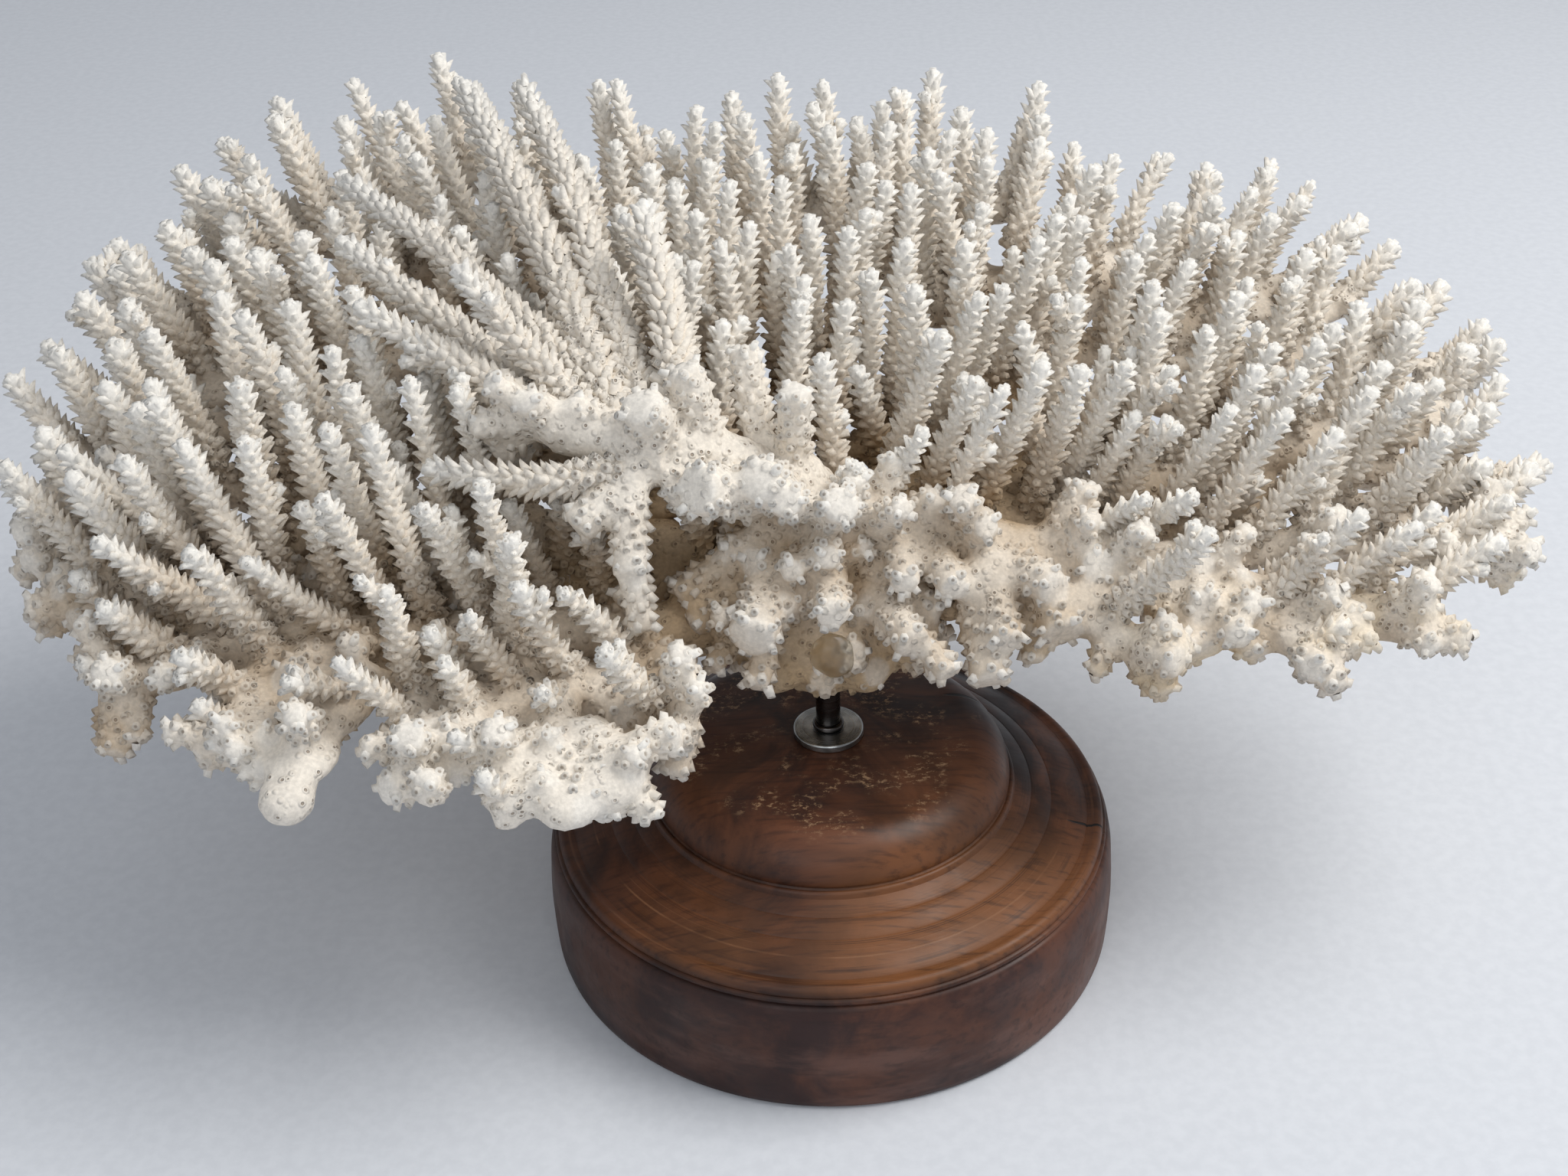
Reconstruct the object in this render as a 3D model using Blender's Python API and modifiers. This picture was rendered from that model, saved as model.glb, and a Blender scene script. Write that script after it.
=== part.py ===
"""A branching coral on a turned wooden stand.

The coral is a broad bleached crown of upright branchlets, split at its main forks into limbs that leave a short
stalk. A steel rod holds the stalk over a turned base. Lengths are written in millimetres and scaled by MM.
The origin is the middle of the base's foot, +X runs along the crown and +Y to its back.
"""

import math
import random

import bmesh
import bpy
import numpy as np
from mathutils import Matrix, Vector

MM = 0.001
FIT_GAP = 0.3

# Stand
BASE_RADIUS = 80.0
BASE_STEPS = 32
RIM_HEIGHT = 38.0
DOME_FOOT = (50.6, 49.2)
DOME_TOP = 64.0
DOME_EDGE = 12.0
BORE_DEPTH = 12.0
ROD_RADIUS = 3.4
ROD_TOP = 93.0
COLLAR_RADIUS = 4.4
WASHER_RADIUS = 9.8
WASHER_THICKNESS = 2.0
RESIN_CENTRE = (1.0, -18.0, 103.0)
RESIN_RADII = (6.5, 4.5, 7.5)

# Crown of the coral
SEED = 7
CENTRE = np.array((-4.0, 30.0))
TIP_PITCH = 16.0
CLEARANCE = 0.5
BRANCHLET_RADII = (4.3, 2.6)
SPIKE_RADII = (5.0, 2.8)
LIMB_SIDES = 6
LEAST_KEPT = 0.6
KEPT_STEP = 0.02
SIDE_STEM_REACH = 8.0
FILL_SPACING = 5.0
FILL_GAP = 0.6
BRANCHLET_SIDES = 4

# Plan outline of the crown of tips, anticlockwise from the right end
OUTLINE = [
    (206, 44), (194, 96), (156, 132), (98, 146), (36, 158), (-34, 166), (-112, 170), (-176, 158), (-212, 112),
    (-230, 50), (-210, 0), (-176, -28), (-140, -46), (-92, -58), (-50, -50), (-30, -22), (8, -8),
    (50, -14), (100, -22), (150, -20), (190, 0),
]

# The stems of each limb: route, then the radii from its start to its end.
# A point with two numbers lies on the plate that the limbs spread in.
STEMS = {
    "stalk": [
        ([(0, 0, 81), (-2, 4, 97), (-4, 9, 113), (-6, 13, 130), (-14, 15, 144)], (14, 19, 22, 17, 12)),
    ],
    "left_front_limb": [
        ([(-8, 5, 100), (-38, -4), (-72, -6), (-106, -6), (-140, -6), (-172, 2), (-196, 10)], (8.5, 8.5, 5)),
        ([(-148, -5), (-166, -12, 103), (-184, -20, 102)], (8, 6)),
        ([(-140, -6), (-149, -22, 101), (-152, -38, 98)], (7, 5)),
        ([(-84, -6), (-78, -28, 99), (-68, -42, 97), (-54, -52, 96)], (8, 6)),
        ([(-80, -24, 100), (-84, -48, 95), (-79, -68, 92)], (7, 5.5)),
        ([(-106, -6), (-106, -36, 97), (-99, -60, 93)], (6.5, 4.5)),
        ([(-54, -5), (-48, -22, 99), (-37, -34, 98)], (7, 5.5)),
    ],
    "left_limb": [
        ([(-6, 12, 116), (-50, 24), (-95, 34), (-140, 42), (-182, 50), (-208, 54)], (7.5, 8, 5)),
        ([(-118, 38), (-158, 26), (-190, 26), (-210, 28)], (6.5, 4.5)),
    ],
    "upper_left_limb": [
        ([(-12, 14, 136), (-30, 10, 147), (-52, 9, 153), (-76, 17, 158)], (10, 7)),
    ],
    "back_left_limb": [
        ([(-8, 16), (-38, 44), (-76, 72), (-116, 96), (-156, 114), (-182, 124)], (7.5, 7.5, 5)),
        ([(-72, 70), (-94, 108), (-124, 136)], (6.5, 4.5)),
        ([(-112, 94), (-150, 84), (-182, 86), (-200, 88)], (6.5, 4.5)),
    ],
    "back_limb": [
        ([(-4, 18), (-14, 54), (-26, 92), (-36, 132)], (7.5, 7.5, 5)),
        ([(-18, 68), (-46, 106), (-72, 142)], (6.5, 4.5)),
        ([(-12, 50), (6, 90), (12, 132)], (6.5, 4.5)),
    ],
    "back_right_limb": [
        ([(0, 18), (26, 46), (54, 78), (80, 108), (98, 130)], (7.5, 7.5, 5)),
        ([(38, 60), (46, 98), (48, 132)], (6.5, 4.5)),
        ([(60, 84), (98, 96), (134, 110)], (6.5, 4.5)),
    ],
    "right_limb": [
        ([(4, 12), (44, 26), (86, 38), (128, 50), (162, 60), (184, 66)], (7.5, 8, 5)),
        ([(84, 38), (120, 68), (150, 90)], (6.5, 4.5)),
        ([(126, 50), (158, 40), (182, 36)], (6, 4.5)),
    ],
    "right_front_limb": [
        ([(0, 6, 124), (26, 10, 124), (50, 6, 118), (74, 2, 112), (108, -4, 108), (134, -8, 104), (150, -10, 103)],
         (8.5, 9, 6)),
        ([(72, 2, 112), (110, 12, 112), (146, 14, 112), (176, 10, 112)], (6.5, 4.5)),
        ([(62, 4, 114), (72, -12, 107), (82, -20, 104)], (6, 4.5)),
        ([(100, -3, 108), (116, -14, 104), (126, -20, 102)], (6, 4.5)),
    ],
}

# Stems that bear nothing: the pale blade at the front
BARE_STEMS = {
    "left_front_limb": [([(-126, -6), (-130, -24, 101), (-134, -44, 97), (-137, -64, 92)], (10, 6.5))],
}

# Thick broken stubs that face the front: start, end, radius
STUBS = {
    "stalk": [
        ((-14, 10, 136), (-33, -11, 150), 8.0),
        ((-8, 10, 134), (-17, -10, 152), 7.0),
        ((-6, 8, 132), (-10, -12, 147), 5.5),
        ((0, 6, 130), (4, -13, 146), 6.0),
        ((-8, 14, 138), (-7, 12, 166), 5.0),
        ((-16, 16, 142), (-20, 28, 170), 5.0),
        ((-12, 2, 118), (-20, -24, 113), 8.0),
        ((-14, -6, 110), (-19, -25, 98), 4.5),
        ((-20, -4, 108), (-31, -20, 101), 4.0),
        ((0, -2, 118), (1, -24, 119), 5.5),
        ((12, 0, 112), (22, -22, 108), 6.0),
        ((16, -4, 108), (31, -26, 101), 4.5),
        ((8, 4, 98), (30, -8, 96), 9.0),
        ((-14, 4, 126), (-40, -4, 114), 5.0),
        ((-12, 2, 118), (-36, -10, 108), 4.5),
        ((-12, 4, 128), (-27, 0, 124), 5.0),
        ((12, 4, 116), (30, -8, 109), 5.0),
    ],
    "upper_left_limb": [
        ((-40, 10, 148), (-46, 2, 168), 7.0),
        ((-28, 11, 147), (-36, 14, 172), 6.0),
        ((-44, 8, 150), (-64, -8, 138), 6.5),
        ((-50, 8, 152), (-65, 12, 163), 5.0),
        ((-50, 2, 148), (-50, -17, 129), 5.5),
        ((-50, -14, 132), (-48, -19, 113), 4.5),
    ],
    "right_front_limb": [
        ((20, 8, 124), (20, -14, 121), 5.0),
        ((26, 8, 124), (33, -14, 119), 5.0),
        ((42, 6, 120), (35, -2, 141), 5.0),
        ((44, 6, 119), (59, -14, 119), 6.0),
        ((42, 4, 118), (46, -22, 107), 6.0),
        ((38, 4, 118), (42, -24, 97), 6.5),
        ((50, 4, 116), (54, -17, 98), 4.0),
        ((56, 4, 116), (61, -18, 107), 7.5),
        ((68, 4, 113), (71, -7, 121), 5.5),
        ((86, 0, 110), (97, -20, 101), 6.5),
        ((98, -2, 109), (98, -16, 113), 6.0),
    ],
    "left_front_limb": [
        ((-64, -42, 97), (-53, -56, 95), 8.5),
        ((-70, -42, 97), (-62, -66, 92), 7.5),
        ((-90, -16, 102), (-104, -20, 115), 5.0),
        ((-84, -30, 98), (-97, -50, 93), 6.0),
        ((-56, -8, 104), (-37, -24, 105), 5.5),
    ],
}

# The long spiky branches of the upper left limb: all but the last sweep up and back
SPIKES = [
    [(-48, 14, 153), (-92, 60, 174), (-133, 102, 188)],
    [(-52, 12, 153), (-78, 82, 183), (-101, 134, 204)],
    [(-62, 14, 155), (-98, 48, 170), (-131, 75, 182)],
    [(-66, 14, 156), (-94, 28, 168), (-121, 38, 180)],
    [(-74, 16, 157), (-90, 24, 166), (-108, 31, 172)],
    [(-44, 12, 151), (-64, 78, 184), (-84, 134, 204)],
    [(-36, 12, 149), (-40, 40, 175), (-46, 62, 196)],
    [(-56, 10, 154), (-78, 26, 172), (-94, 38, 190)],
    [(-44, 6, 151), (-72, -3, 149), (-102, 4, 150)],
]


def unit(vector):
    return vector / np.linalg.norm(vector)


def plate_height(x, y):
    """Height of the limbs: the plate that they spread in climbs to the back and to both ends."""
    reach = math.hypot(x, y)
    return 103.0 + 0.33 * max(y, 0.0) + 0.0003 * max(reach - 90.0, 0.0) ** 2


def crown_height(x, y):
    """Height that upright branchlets reach: most at the back, least at the front edge and the right end."""
    front = 0.010 * max(15.0 - y, 0.0) ** 2
    ends = 0.0040 * max(abs(x + 5.0) - 150.0, 0.0) ** 2
    return 168.0 + 0.21 * max(y, 0.0) - front - ends - 0.15 * max(x - 50.0, 0.0)


def on_plate(point):
    return np.array(point if len(point) == 3 else (*point, plate_height(*point)), float)


class Rod:
    """A tapered round length of coral: its points and the radius at each."""

    def __init__(self, points, radii, kind):
        self.points = [np.asarray(point, float) for point in points]
        stations = np.linspace(0, 1, len(points))
        self.radii = list(np.interp(stations, np.linspace(0, 1, len(radii)), radii))
        self.kind = kind

    def grown(self, amount):
        """The same rod, larger by an amount all round, its two ends too."""
        points = list(self.points)
        points[0] = points[0] - amount * unit(points[1] - points[0])
        points[-1] = points[-1] + amount * unit(points[-1] - points[-2])
        larger = Rod(points, self.radii, self.kind)
        larger.radii = [radius + amount / math.cos(math.pi / LIMB_SIDES) for radius in self.radii]
        return larger

    def segments(self):
        return list(zip(self.points, self.points[1:], self.radii, self.radii[1:]))


def segment_distance(a, b, c, d):
    """Shortest distance between the segments a-b and c-d."""
    u, v, w = b - a, d - c, a - c
    uu, uv, vv, uw, vw = u @ u, u @ v, v @ v, u @ w, v @ w
    spread = uu * vv - uv * uv
    s = min(max((uv * vw - vv * uw) / spread, 0.0), 1.0) if spread > 1e-9 else 0.0
    t = min(max((uv * s + vw) / vv, 0.0), 1.0)
    s = min(max((uv * t - uw) / uu, 0.0), 1.0)
    return np.linalg.norm(w + s * u - t * v)


def rod_gap(one, two):
    """Clear distance between two rods, below zero where they overlap."""
    best = math.inf
    for a, b, start, end in one.segments():
        for c, d, other_start, other_end in two.segments():
            reach = max(start, end) + max(other_start, other_end)
            best = min(best, segment_distance(a, b, c, d) - reach)
    return best


def edge_distance(x, y):
    """Distance from a plan point to the crown's outline, below zero outside it."""
    inside = False
    best = math.inf
    for (ax, ay), (bx, by) in zip(OUTLINE, OUTLINE[1:] + OUTLINE[:1]):
        share = ((x - ax) * (bx - ax) + (y - ay) * (by - ay)) / ((bx - ax) ** 2 + (by - ay) ** 2)
        share = min(max(share, 0.0), 1.0)
        best = min(best, math.hypot(x - ax - share * (bx - ax), y - ay - share * (by - ay)))
        if (ay > y) != (by > y) and x < ax + (y - ay) * (bx - ax) / (by - ay):
            inside = not inside
    return best if inside else -best


def branchlet_direction(x, y, rng):
    """Upright inside the crown, most of all in its left half, and more and more outward towards its edge."""
    away = np.array((x, y)) - CENTRE
    near_edge = 1.0 - min(max(edge_distance(x, y) / 60.0, 0.0), 1.0)
    at_ends = abs(away[0]) / (abs(away[0]) + abs(away[1]))
    spread = 14.0 if away[0] > 0.0 else 4.0
    lean = 4.0 + spread * min(abs(away[0]) / 130.0, 1.0) + (12.0 + 42.0 * at_ends) * near_edge ** 1.6
    lean = math.radians(lean + rng.uniform(-4, 4))
    heading = math.atan2(away[1], away[0]) + rng.uniform(-0.2, 0.2)
    return np.array((math.sin(lean) * math.cos(heading), math.sin(lean) * math.sin(heading), math.cos(lean)))


def tip_places(rng):
    """Plan places of the branchlet tips: an uneven honeycomb inside the outline, the inner ones first."""
    places = []
    for row in range(-6, 16):
        for column in range(-18, 18):
            x = (column + 0.5 * (row % 2) + rng.uniform(-0.22, 0.22)) * TIP_PITCH
            y = (row * math.sqrt(3) / 2 + rng.uniform(-0.22, 0.22)) * TIP_PITCH
            if edge_distance(x, y) > 0:
                places.append((x, y))
    return sorted(places, key=lambda place: math.hypot(place[0], place[1] * 1.4))


def nearest_stems(point, rods):
    """For each limb the place on its stems nearest to a point, as distance, limb, place and radius there."""
    found = []
    for limb, entries in rods.items():
        choices = []
        for rod in entries:
            if rod.kind != "stem":
                continue
            for a, b, start, end in rod.segments():
                share = min(max((point - a) @ (b - a) / ((b - a) @ (b - a)), 0.0), 1.0)
                place = a + share * (b - a)
                choices.append((np.linalg.norm(point - place), limb, place, start + share * (end - start)))
        if choices:
            found.append(min(choices, key=lambda choice: choice[0]))
    return sorted(found, key=lambda choice: choice[0])


def clear_of_other_limbs(rod, limb, rods):
    return all(rod_gap(rod, entry) > CLEARANCE for other in rods if other != limb for entry in rods[other])


def add_branchlet(x, y, upright, choice, rods, rng):
    """Adds a branchlet with its tip over (x, y), and the side stem that it needs, if there is room for them."""
    direction = unit(branchlet_direction(x, y, rng) + (0, 0, upright))
    top = crown_height(x, y) - rng.uniform(0, 7) - 28.0 * (1 - direction[2])
    tip = np.array((x, y, top))
    length = min(max((top - plate_height(x, y)) / direction[2], 24.0), 60.0)
    foot = tip - length * direction
    distance, limb, place, radius = nearest_stems(foot, rods)[choice]
    if distance > 40.0:
        return False
    new_rods = []
    if distance > radius + SIDE_STEM_REACH:
        reach = unit(foot - place)
        foot = place + distance * reach
        new_rods.append(Rod([place, foot + 1.5 * reach], (min(radius, 5.0) * 0.9, 3.8), "stem"))
    else:
        foot = place
    new_rods.append(Rod([foot, tip], BRANCHLET_RADII, "branchlet"))
    if not all(clear_of_other_limbs(rod, limb, rods) for rod in new_rods):
        return False
    if any(rod_gap(new_rods[-1], entry) < -0.6 for entry in rods[limb] if entry.kind != "stem"):
        return False
    rods[limb] += new_rods
    return True


def places_along(rod, spacing):
    """Points at even steps along a rod, from half a step past its start."""
    lengths = [np.linalg.norm(end - start) for start, end in zip(rod.points, rod.points[1:])]
    ends = np.cumsum([0.0] + lengths)
    for place in np.arange(0.5 * spacing, ends[-1], spacing):
        yield np.array([np.interp(place, ends, [point[axis] for point in rod.points]) for axis in range(3)])


def fill_gaps(limb, rods, rng):
    """Stands more branchlets on a limb's stems wherever there is still room for one."""
    for stem in [entry for entry in rods[limb] if entry.kind == "stem"]:
        for place in places_along(stem, FILL_SPACING):
            direction = branchlet_direction(place[0], place[1], rng)
            top = crown_height(place[0], place[1]) - rng.uniform(0, 14) - 28.0 * (1 - direction[2])
            length = min(max((top - place[2]) / direction[2], 18.0), 56.0)
            while length > 15.0 and edge_distance(*(place + length * direction)[:2]) < 0:
                length -= 3.0
            branchlet = Rod([place, place + length * direction], BRANCHLET_RADII, "branchlet")
            mates = [entry for entry in rods[limb] if entry.kind != "stem"]
            if not clear_of_other_limbs(branchlet, limb, rods):
                continue
            if all(rod_gap(branchlet, mate) > FILL_GAP for mate in mates):
                rods[limb].append(branchlet)


def grow_coral():
    """The rods of every limb: stems, stubs and spikes as listed, then side stems and branchlets by rule."""
    rng = random.Random(SEED)
    rods = {}
    for limb, stems in STEMS.items():
        rods[limb] = [Rod([on_plate(point) for point in route], radii, "stem") for route, radii in stems]
    for limb, stems in BARE_STEMS.items():
        rods[limb] += [Rod([on_plate(point) for point in route], radii, "bare") for route, radii in stems]
    for limb, stubs in STUBS.items():
        rods[limb] += [Rod([start, end], (radius, radius * 0.9), "stub") for start, end, radius in stubs]
    rods["upper_left_limb"] += [Rod(route, SPIKE_RADII, "spike") for route in SPIKES]
    for x, y in tip_places(rng):
        for attempt in range(10):
            stray = 0.9 * attempt
            x_try = x + rng.uniform(-stray, stray)
            y_try = y + rng.uniform(-stray, stray)
            if add_branchlet(x_try, y_try, 0.06 * attempt, attempt % 3, rods, rng):
                break
    for limb in rods:
        if limb != "stalk":
            fill_gaps(limb, rods, rng)
    return rods


def start_scene():
    for old in list(bpy.data.objects):
        bpy.data.objects.remove(old)
    parts = bpy.data.collections.new("branching_coral")
    bpy.context.scene.collection.children.link(parts)
    return parts


def make_material(name, colour, roughness, metallic=0.0):
    material = bpy.data.materials.new(name)
    material.use_nodes = True
    shader = material.node_tree.nodes["Principled BSDF"]
    shader.inputs["Base Color"].default_value = (*colour, 1.0)
    shader.inputs["Roughness"].default_value = roughness
    shader.inputs["Metallic"].default_value = metallic
    return material


def place_object(name, mesh, collection, material=None):
    item = bpy.data.objects.new(name, mesh)
    collection.objects.link(item)
    if material:
        mesh.materials.clear()
        mesh.materials.append(material)
    return item


def evaluated_mesh(item):
    """The mesh of an object with its modifiers applied; the object itself is removed."""
    graph = bpy.context.evaluated_depsgraph_get()
    mesh = bpy.data.meshes.new_from_object(item.evaluated_get(graph))
    bpy.data.objects.remove(item)
    return mesh


def add_cone(work, start, end, start_radius, end_radius, sides):
    """Adds a tapered prism from start to end to the mesh being built."""
    axis = Vector(end - start) * MM
    turn = axis.to_track_quat("Z", "Y").to_matrix().to_4x4()
    middle = Vector((start + end) / 2) * MM
    bmesh.ops.create_cone(
        work, cap_ends=True, segments=sides, radius1=start_radius * MM, radius2=end_radius * MM,
        depth=axis.length, matrix=Matrix.Translation(middle) @ turn)


def bent_rods_mesh(rods):
    """Closed tubes along the rods that have more than two points."""
    curve = bpy.data.curves.new("routes", "CURVE")
    curve.dimensions = "3D"
    curve.bevel_depth = MM
    curve.bevel_resolution = LIMB_SIDES // 2 - 2
    curve.use_fill_caps = True
    for rod in rods:
        spline = curve.splines.new("POLY")
        spline.points.add(len(rod.points) - 1)
        for target, point, radius in zip(spline.points, rod.points, rod.radii):
            target.co = (*(point * MM), 1.0)
            target.radius = radius
    return evaluated_mesh(place_object("routes", curve, bpy.context.scene.collection))


def rods_mesh(name, rods):
    """All the rods as closed tubes and prisms in one mesh, each still a shell of its own."""
    work = bmesh.new()
    bent = [rod for rod in rods if len(rod.points) > 2]
    if bent:
        tubes = bent_rods_mesh(bent)
        work.from_mesh(tubes)
        bpy.data.meshes.remove(tubes)
        bmesh.ops.remove_doubles(work, verts=work.verts, dist=1e-6)
    for rod in rods:
        if len(rod.points) == 2:
            sides = LIMB_SIDES if rod.kind == "stub" else BRANCHLET_SIDES
            add_cone(work, *rod.points, *rod.radii, sides)
    bmesh.ops.recalc_face_normals(work, faces=work.faces)
    mesh = bpy.data.meshes.new(name)
    work.to_mesh(mesh)
    work.free()
    return mesh


def combine(mesh, other_mesh, operation):
    """The union or difference of two meshes, whose shells may cross each other."""
    item = place_object("combined", mesh, bpy.context.scene.collection)
    other = place_object("operand", other_mesh, bpy.context.scene.collection)
    change = item.modifiers.new(operation.lower(), "BOOLEAN")
    change.operation = operation
    change.object = other
    change.solver = "EXACT"
    change.use_self = True
    result = evaluated_mesh(item)
    bpy.data.objects.remove(other)
    return result


def keep_largest_shell(mesh):
    """Removes the offcuts that a difference leaves loose."""
    work = bmesh.new()
    work.from_mesh(mesh)
    waiting = set(work.verts)
    shells = []
    while waiting:
        shell = set()
        front = [waiting.pop()]
        while front:
            vertex = front.pop()
            shell.add(vertex)
            for edge in vertex.link_edges:
                neighbour = edge.other_vert(vertex)
                if neighbour in waiting:
                    waiting.remove(neighbour)
                    front.append(neighbour)
        shells.append(shell)
    shells.sort(key=len)
    loose = [vertex for shell in shells[:-1] for vertex in shell]
    bmesh.ops.delete(work, geom=loose, context="VERTS")
    work.to_mesh(mesh)
    work.free()


def fused_rods(name, rods):
    """One closed solid of all the rods, fused where they meet."""
    first = rods_mesh(name, rods[:1])
    return combine(first, rods_mesh(name, rods[1:]), "UNION") if len(rods) > 1 else first


def is_sound(mesh):
    """Whether every edge and vertex of a mesh is that of a plain closed surface."""
    work = bmesh.new()
    work.from_mesh(mesh)
    sound = all(edge.is_manifold for edge in work.edges) and all(vertex.is_manifold for vertex in work.verts)
    work.free()
    return sound


def thinned(mesh, kept):
    """A copy of the mesh with the small faces along its seams merged away."""
    item = place_object("thinned", mesh.copy(), bpy.context.scene.collection)
    item.modifiers.new("thin", "DECIMATE").ratio = kept
    return evaluated_mesh(item)


def in_the_way(rods, earlier_rods):
    """The rods of earlier limbs that come too near to these, larger by the gap that stays between them."""
    blockers = []
    for blocker in earlier_rods:
        if any(rod_gap(blocker, rod) < FIT_GAP for rod in rods):
            blockers.append(blocker.grown(2 * FIT_GAP))
    return blockers


def resin_mesh(amount):
    """The blob of resin at the foot of the stalk, larger by an amount all round."""
    work = bmesh.new()
    bmesh.ops.create_uvsphere(work, u_segments=10, v_segments=6, radius=MM)
    bmesh.ops.scale(work, vec=[radius + amount for radius in RESIN_RADII], verts=work.verts)
    bmesh.ops.translate(work, vec=Vector(RESIN_CENTRE) * MM, verts=work.verts)
    mesh = bpy.data.meshes.new("resin_plug")
    work.to_mesh(mesh)
    work.free()
    return mesh


def rod_bore_mesh():
    """What is drilled out of the stalk for the rod."""
    work = bmesh.new()
    low = np.array((0.0, 0.0, 70.0))
    high = np.array((0.0, 0.0, ROD_TOP + FIT_GAP))
    radius = ROD_RADIUS + FIT_GAP
    add_cone(work, low, high, radius, radius, 16)
    mesh = bpy.data.meshes.new("bore")
    work.to_mesh(mesh)
    work.free()
    return mesh


def limb_mesh(name, entries, earlier):
    """A limb cut clear of those built before it, and thinned as far as leaves it a sound solid."""
    whole = fused_rods(name, entries)
    blockers = in_the_way(entries, earlier)
    for kept in np.arange(LEAST_KEPT, 1.0 + KEPT_STEP, KEPT_STEP):
        mesh = thinned(whole, kept)
        if blockers:
            mesh = combine(mesh, fused_rods("blockers", blockers), "DIFFERENCE")
            keep_largest_shell(mesh)
        if is_sound(mesh):
            return mesh
    return mesh


def stalk_mesh(entries):
    """The stalk, with its pocket of resin and the hole for the rod."""
    mesh = combine(fused_rods("stalk", entries), resin_mesh(FIT_GAP), "DIFFERENCE")
    return combine(mesh, rod_bore_mesh(), "DIFFERENCE")


def build_coral(parts):
    """The stalk and the limbs: each limb gives way, by the fit gap, to those built before it."""
    earlier = []
    for limb, entries in grow_coral().items():
        mesh = stalk_mesh(entries) if limb == "stalk" else limb_mesh(limb, entries, earlier)
        mesh.name = limb
        mesh.shade_smooth()
        mesh.set_sharp_from_angle(angle=math.radians(50))
        place_object(limb, mesh, parts, make_material(limb, (0.86, 0.80, 0.71), 0.75))
        earlier += entries
    place_object("resin_plug", resin_mesh(0.0), parts, make_material("resin_plug", (0.86, 0.74, 0.48), 0.3))


def arc(centre_x, centre_z, radius, start, end, count):
    """Points of an arc in the profile's plane, its angles in degrees up from +X."""
    angles = np.radians(np.linspace(start, end, count))
    return [(centre_x + radius * math.cos(a), centre_z + radius * math.sin(a)) for a in angles]


def turned_object(name, profile, steps, parts, material, ring=False):
    """A solid turned about Z from a profile that runs down its outer side; a ring's profile is a closed loop."""
    mesh = bpy.data.meshes.new(name)
    points = [(x * MM, 0.0, z * MM) for x, z in profile]
    edges = [(i, i + 1) for i in range(len(points) - 1)]
    if ring:
        edges.append((len(points) - 1, 0))
    mesh.from_pydata(points, edges, [])
    item = place_object(name, mesh, parts, material)
    screw = item.modifiers.new("turn", "SCREW")
    screw.axis = "Z"
    screw.steps = steps
    screw.render_steps = steps
    screw.use_merge_vertices = True
    screw.merge_threshold = 0.00001
    screw.use_smooth_shade = True
    return item


def build_base(parts):
    """The turned base: a wall, a beaded rim, a sloping shoulder and a cushion in the middle."""
    bore = ROD_RADIUS + FIT_GAP
    foot_x, foot_z = DOME_FOOT
    profile = [(0, DOME_TOP - BORE_DEPTH), (bore, DOME_TOP - BORE_DEPTH), (bore, DOME_TOP)]
    profile += [(WASHER_RADIUS + 2, DOME_TOP)]
    profile += arc(foot_x - DOME_EDGE, DOME_TOP - DOME_EDGE - 0.8, DOME_EDGE, 90, 0, 4)
    profile += [(foot_x - 0.4, foot_z)]
    profile += [(62, 44.6), (72.9, 39.9), (75.6, 39.4)]
    profile += [(78.0, RIM_HEIGHT), (77.3, RIM_HEIGHT - 1.8), (78.9, RIM_HEIGHT - 3.4)]
    profile += [(BASE_RADIUS + 0.6, 18), (BASE_RADIUS, 2), (BASE_RADIUS - 1.4, 0), (0, 0)]
    material = make_material("wooden_base", (0.14, 0.055, 0.028), 0.4)
    return turned_object("wooden_base", profile, BASE_STEPS, parts, material)


def build_rod(parts):
    """The steel rod with its welded collar, from its hole in the base to its hole in the stalk."""
    washer_top = DOME_TOP + FIT_GAP + WASHER_THICKNESS
    bottom = DOME_TOP - BORE_DEPTH + FIT_GAP
    profile = [(0, ROD_TOP), (ROD_RADIUS, ROD_TOP), (ROD_RADIUS, washer_top + 2.0)]
    profile += [(COLLAR_RADIUS, washer_top + 1.2), (COLLAR_RADIUS, washer_top + FIT_GAP)]
    profile += [(ROD_RADIUS, washer_top + FIT_GAP), (ROD_RADIUS, bottom), (0, bottom)]
    return turned_object("steel_rod", profile, 16, parts, make_material("steel_rod", (0.10, 0.09, 0.09), 0.3, 1.0))


def build_washer(parts):
    """The flat steel disc that the rod stands through."""
    bottom = DOME_TOP + FIT_GAP
    top = bottom + WASHER_THICKNESS
    inner = ROD_RADIUS + FIT_GAP
    profile = [(inner, bottom), (inner, top), (WASHER_RADIUS - 0.8, top), (WASHER_RADIUS, top - 0.8)]
    profile += [(WASHER_RADIUS, bottom)]
    material = make_material("steel_disc", (0.55, 0.55, 0.54), 0.35, 1.0)
    return turned_object("steel_disc", profile, 20, parts, material, ring=True)


def main():
    parts = start_scene()
    build_base(parts)
    build_washer(parts)
    build_rod(parts)
    build_coral(parts)


main()
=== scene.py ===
"""Looks of the branching coral on its turned wooden stand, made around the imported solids.

The skeleton of rods is grown by the same rule as the solids. Each limb is then dressed: a fused body of
stems, knobs, plates and webs, branchlets with scale-like cups in a spiral, open cups on the broken stubs, and
pale tips. Lengths are in millimetres and scaled by MM where a mesh or the camera is made, apart from those in
the materials and lights, which are in metres.
"""

import math
import random

import bmesh
import bpy
import numpy as np
from mathutils import Matrix, Vector


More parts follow.
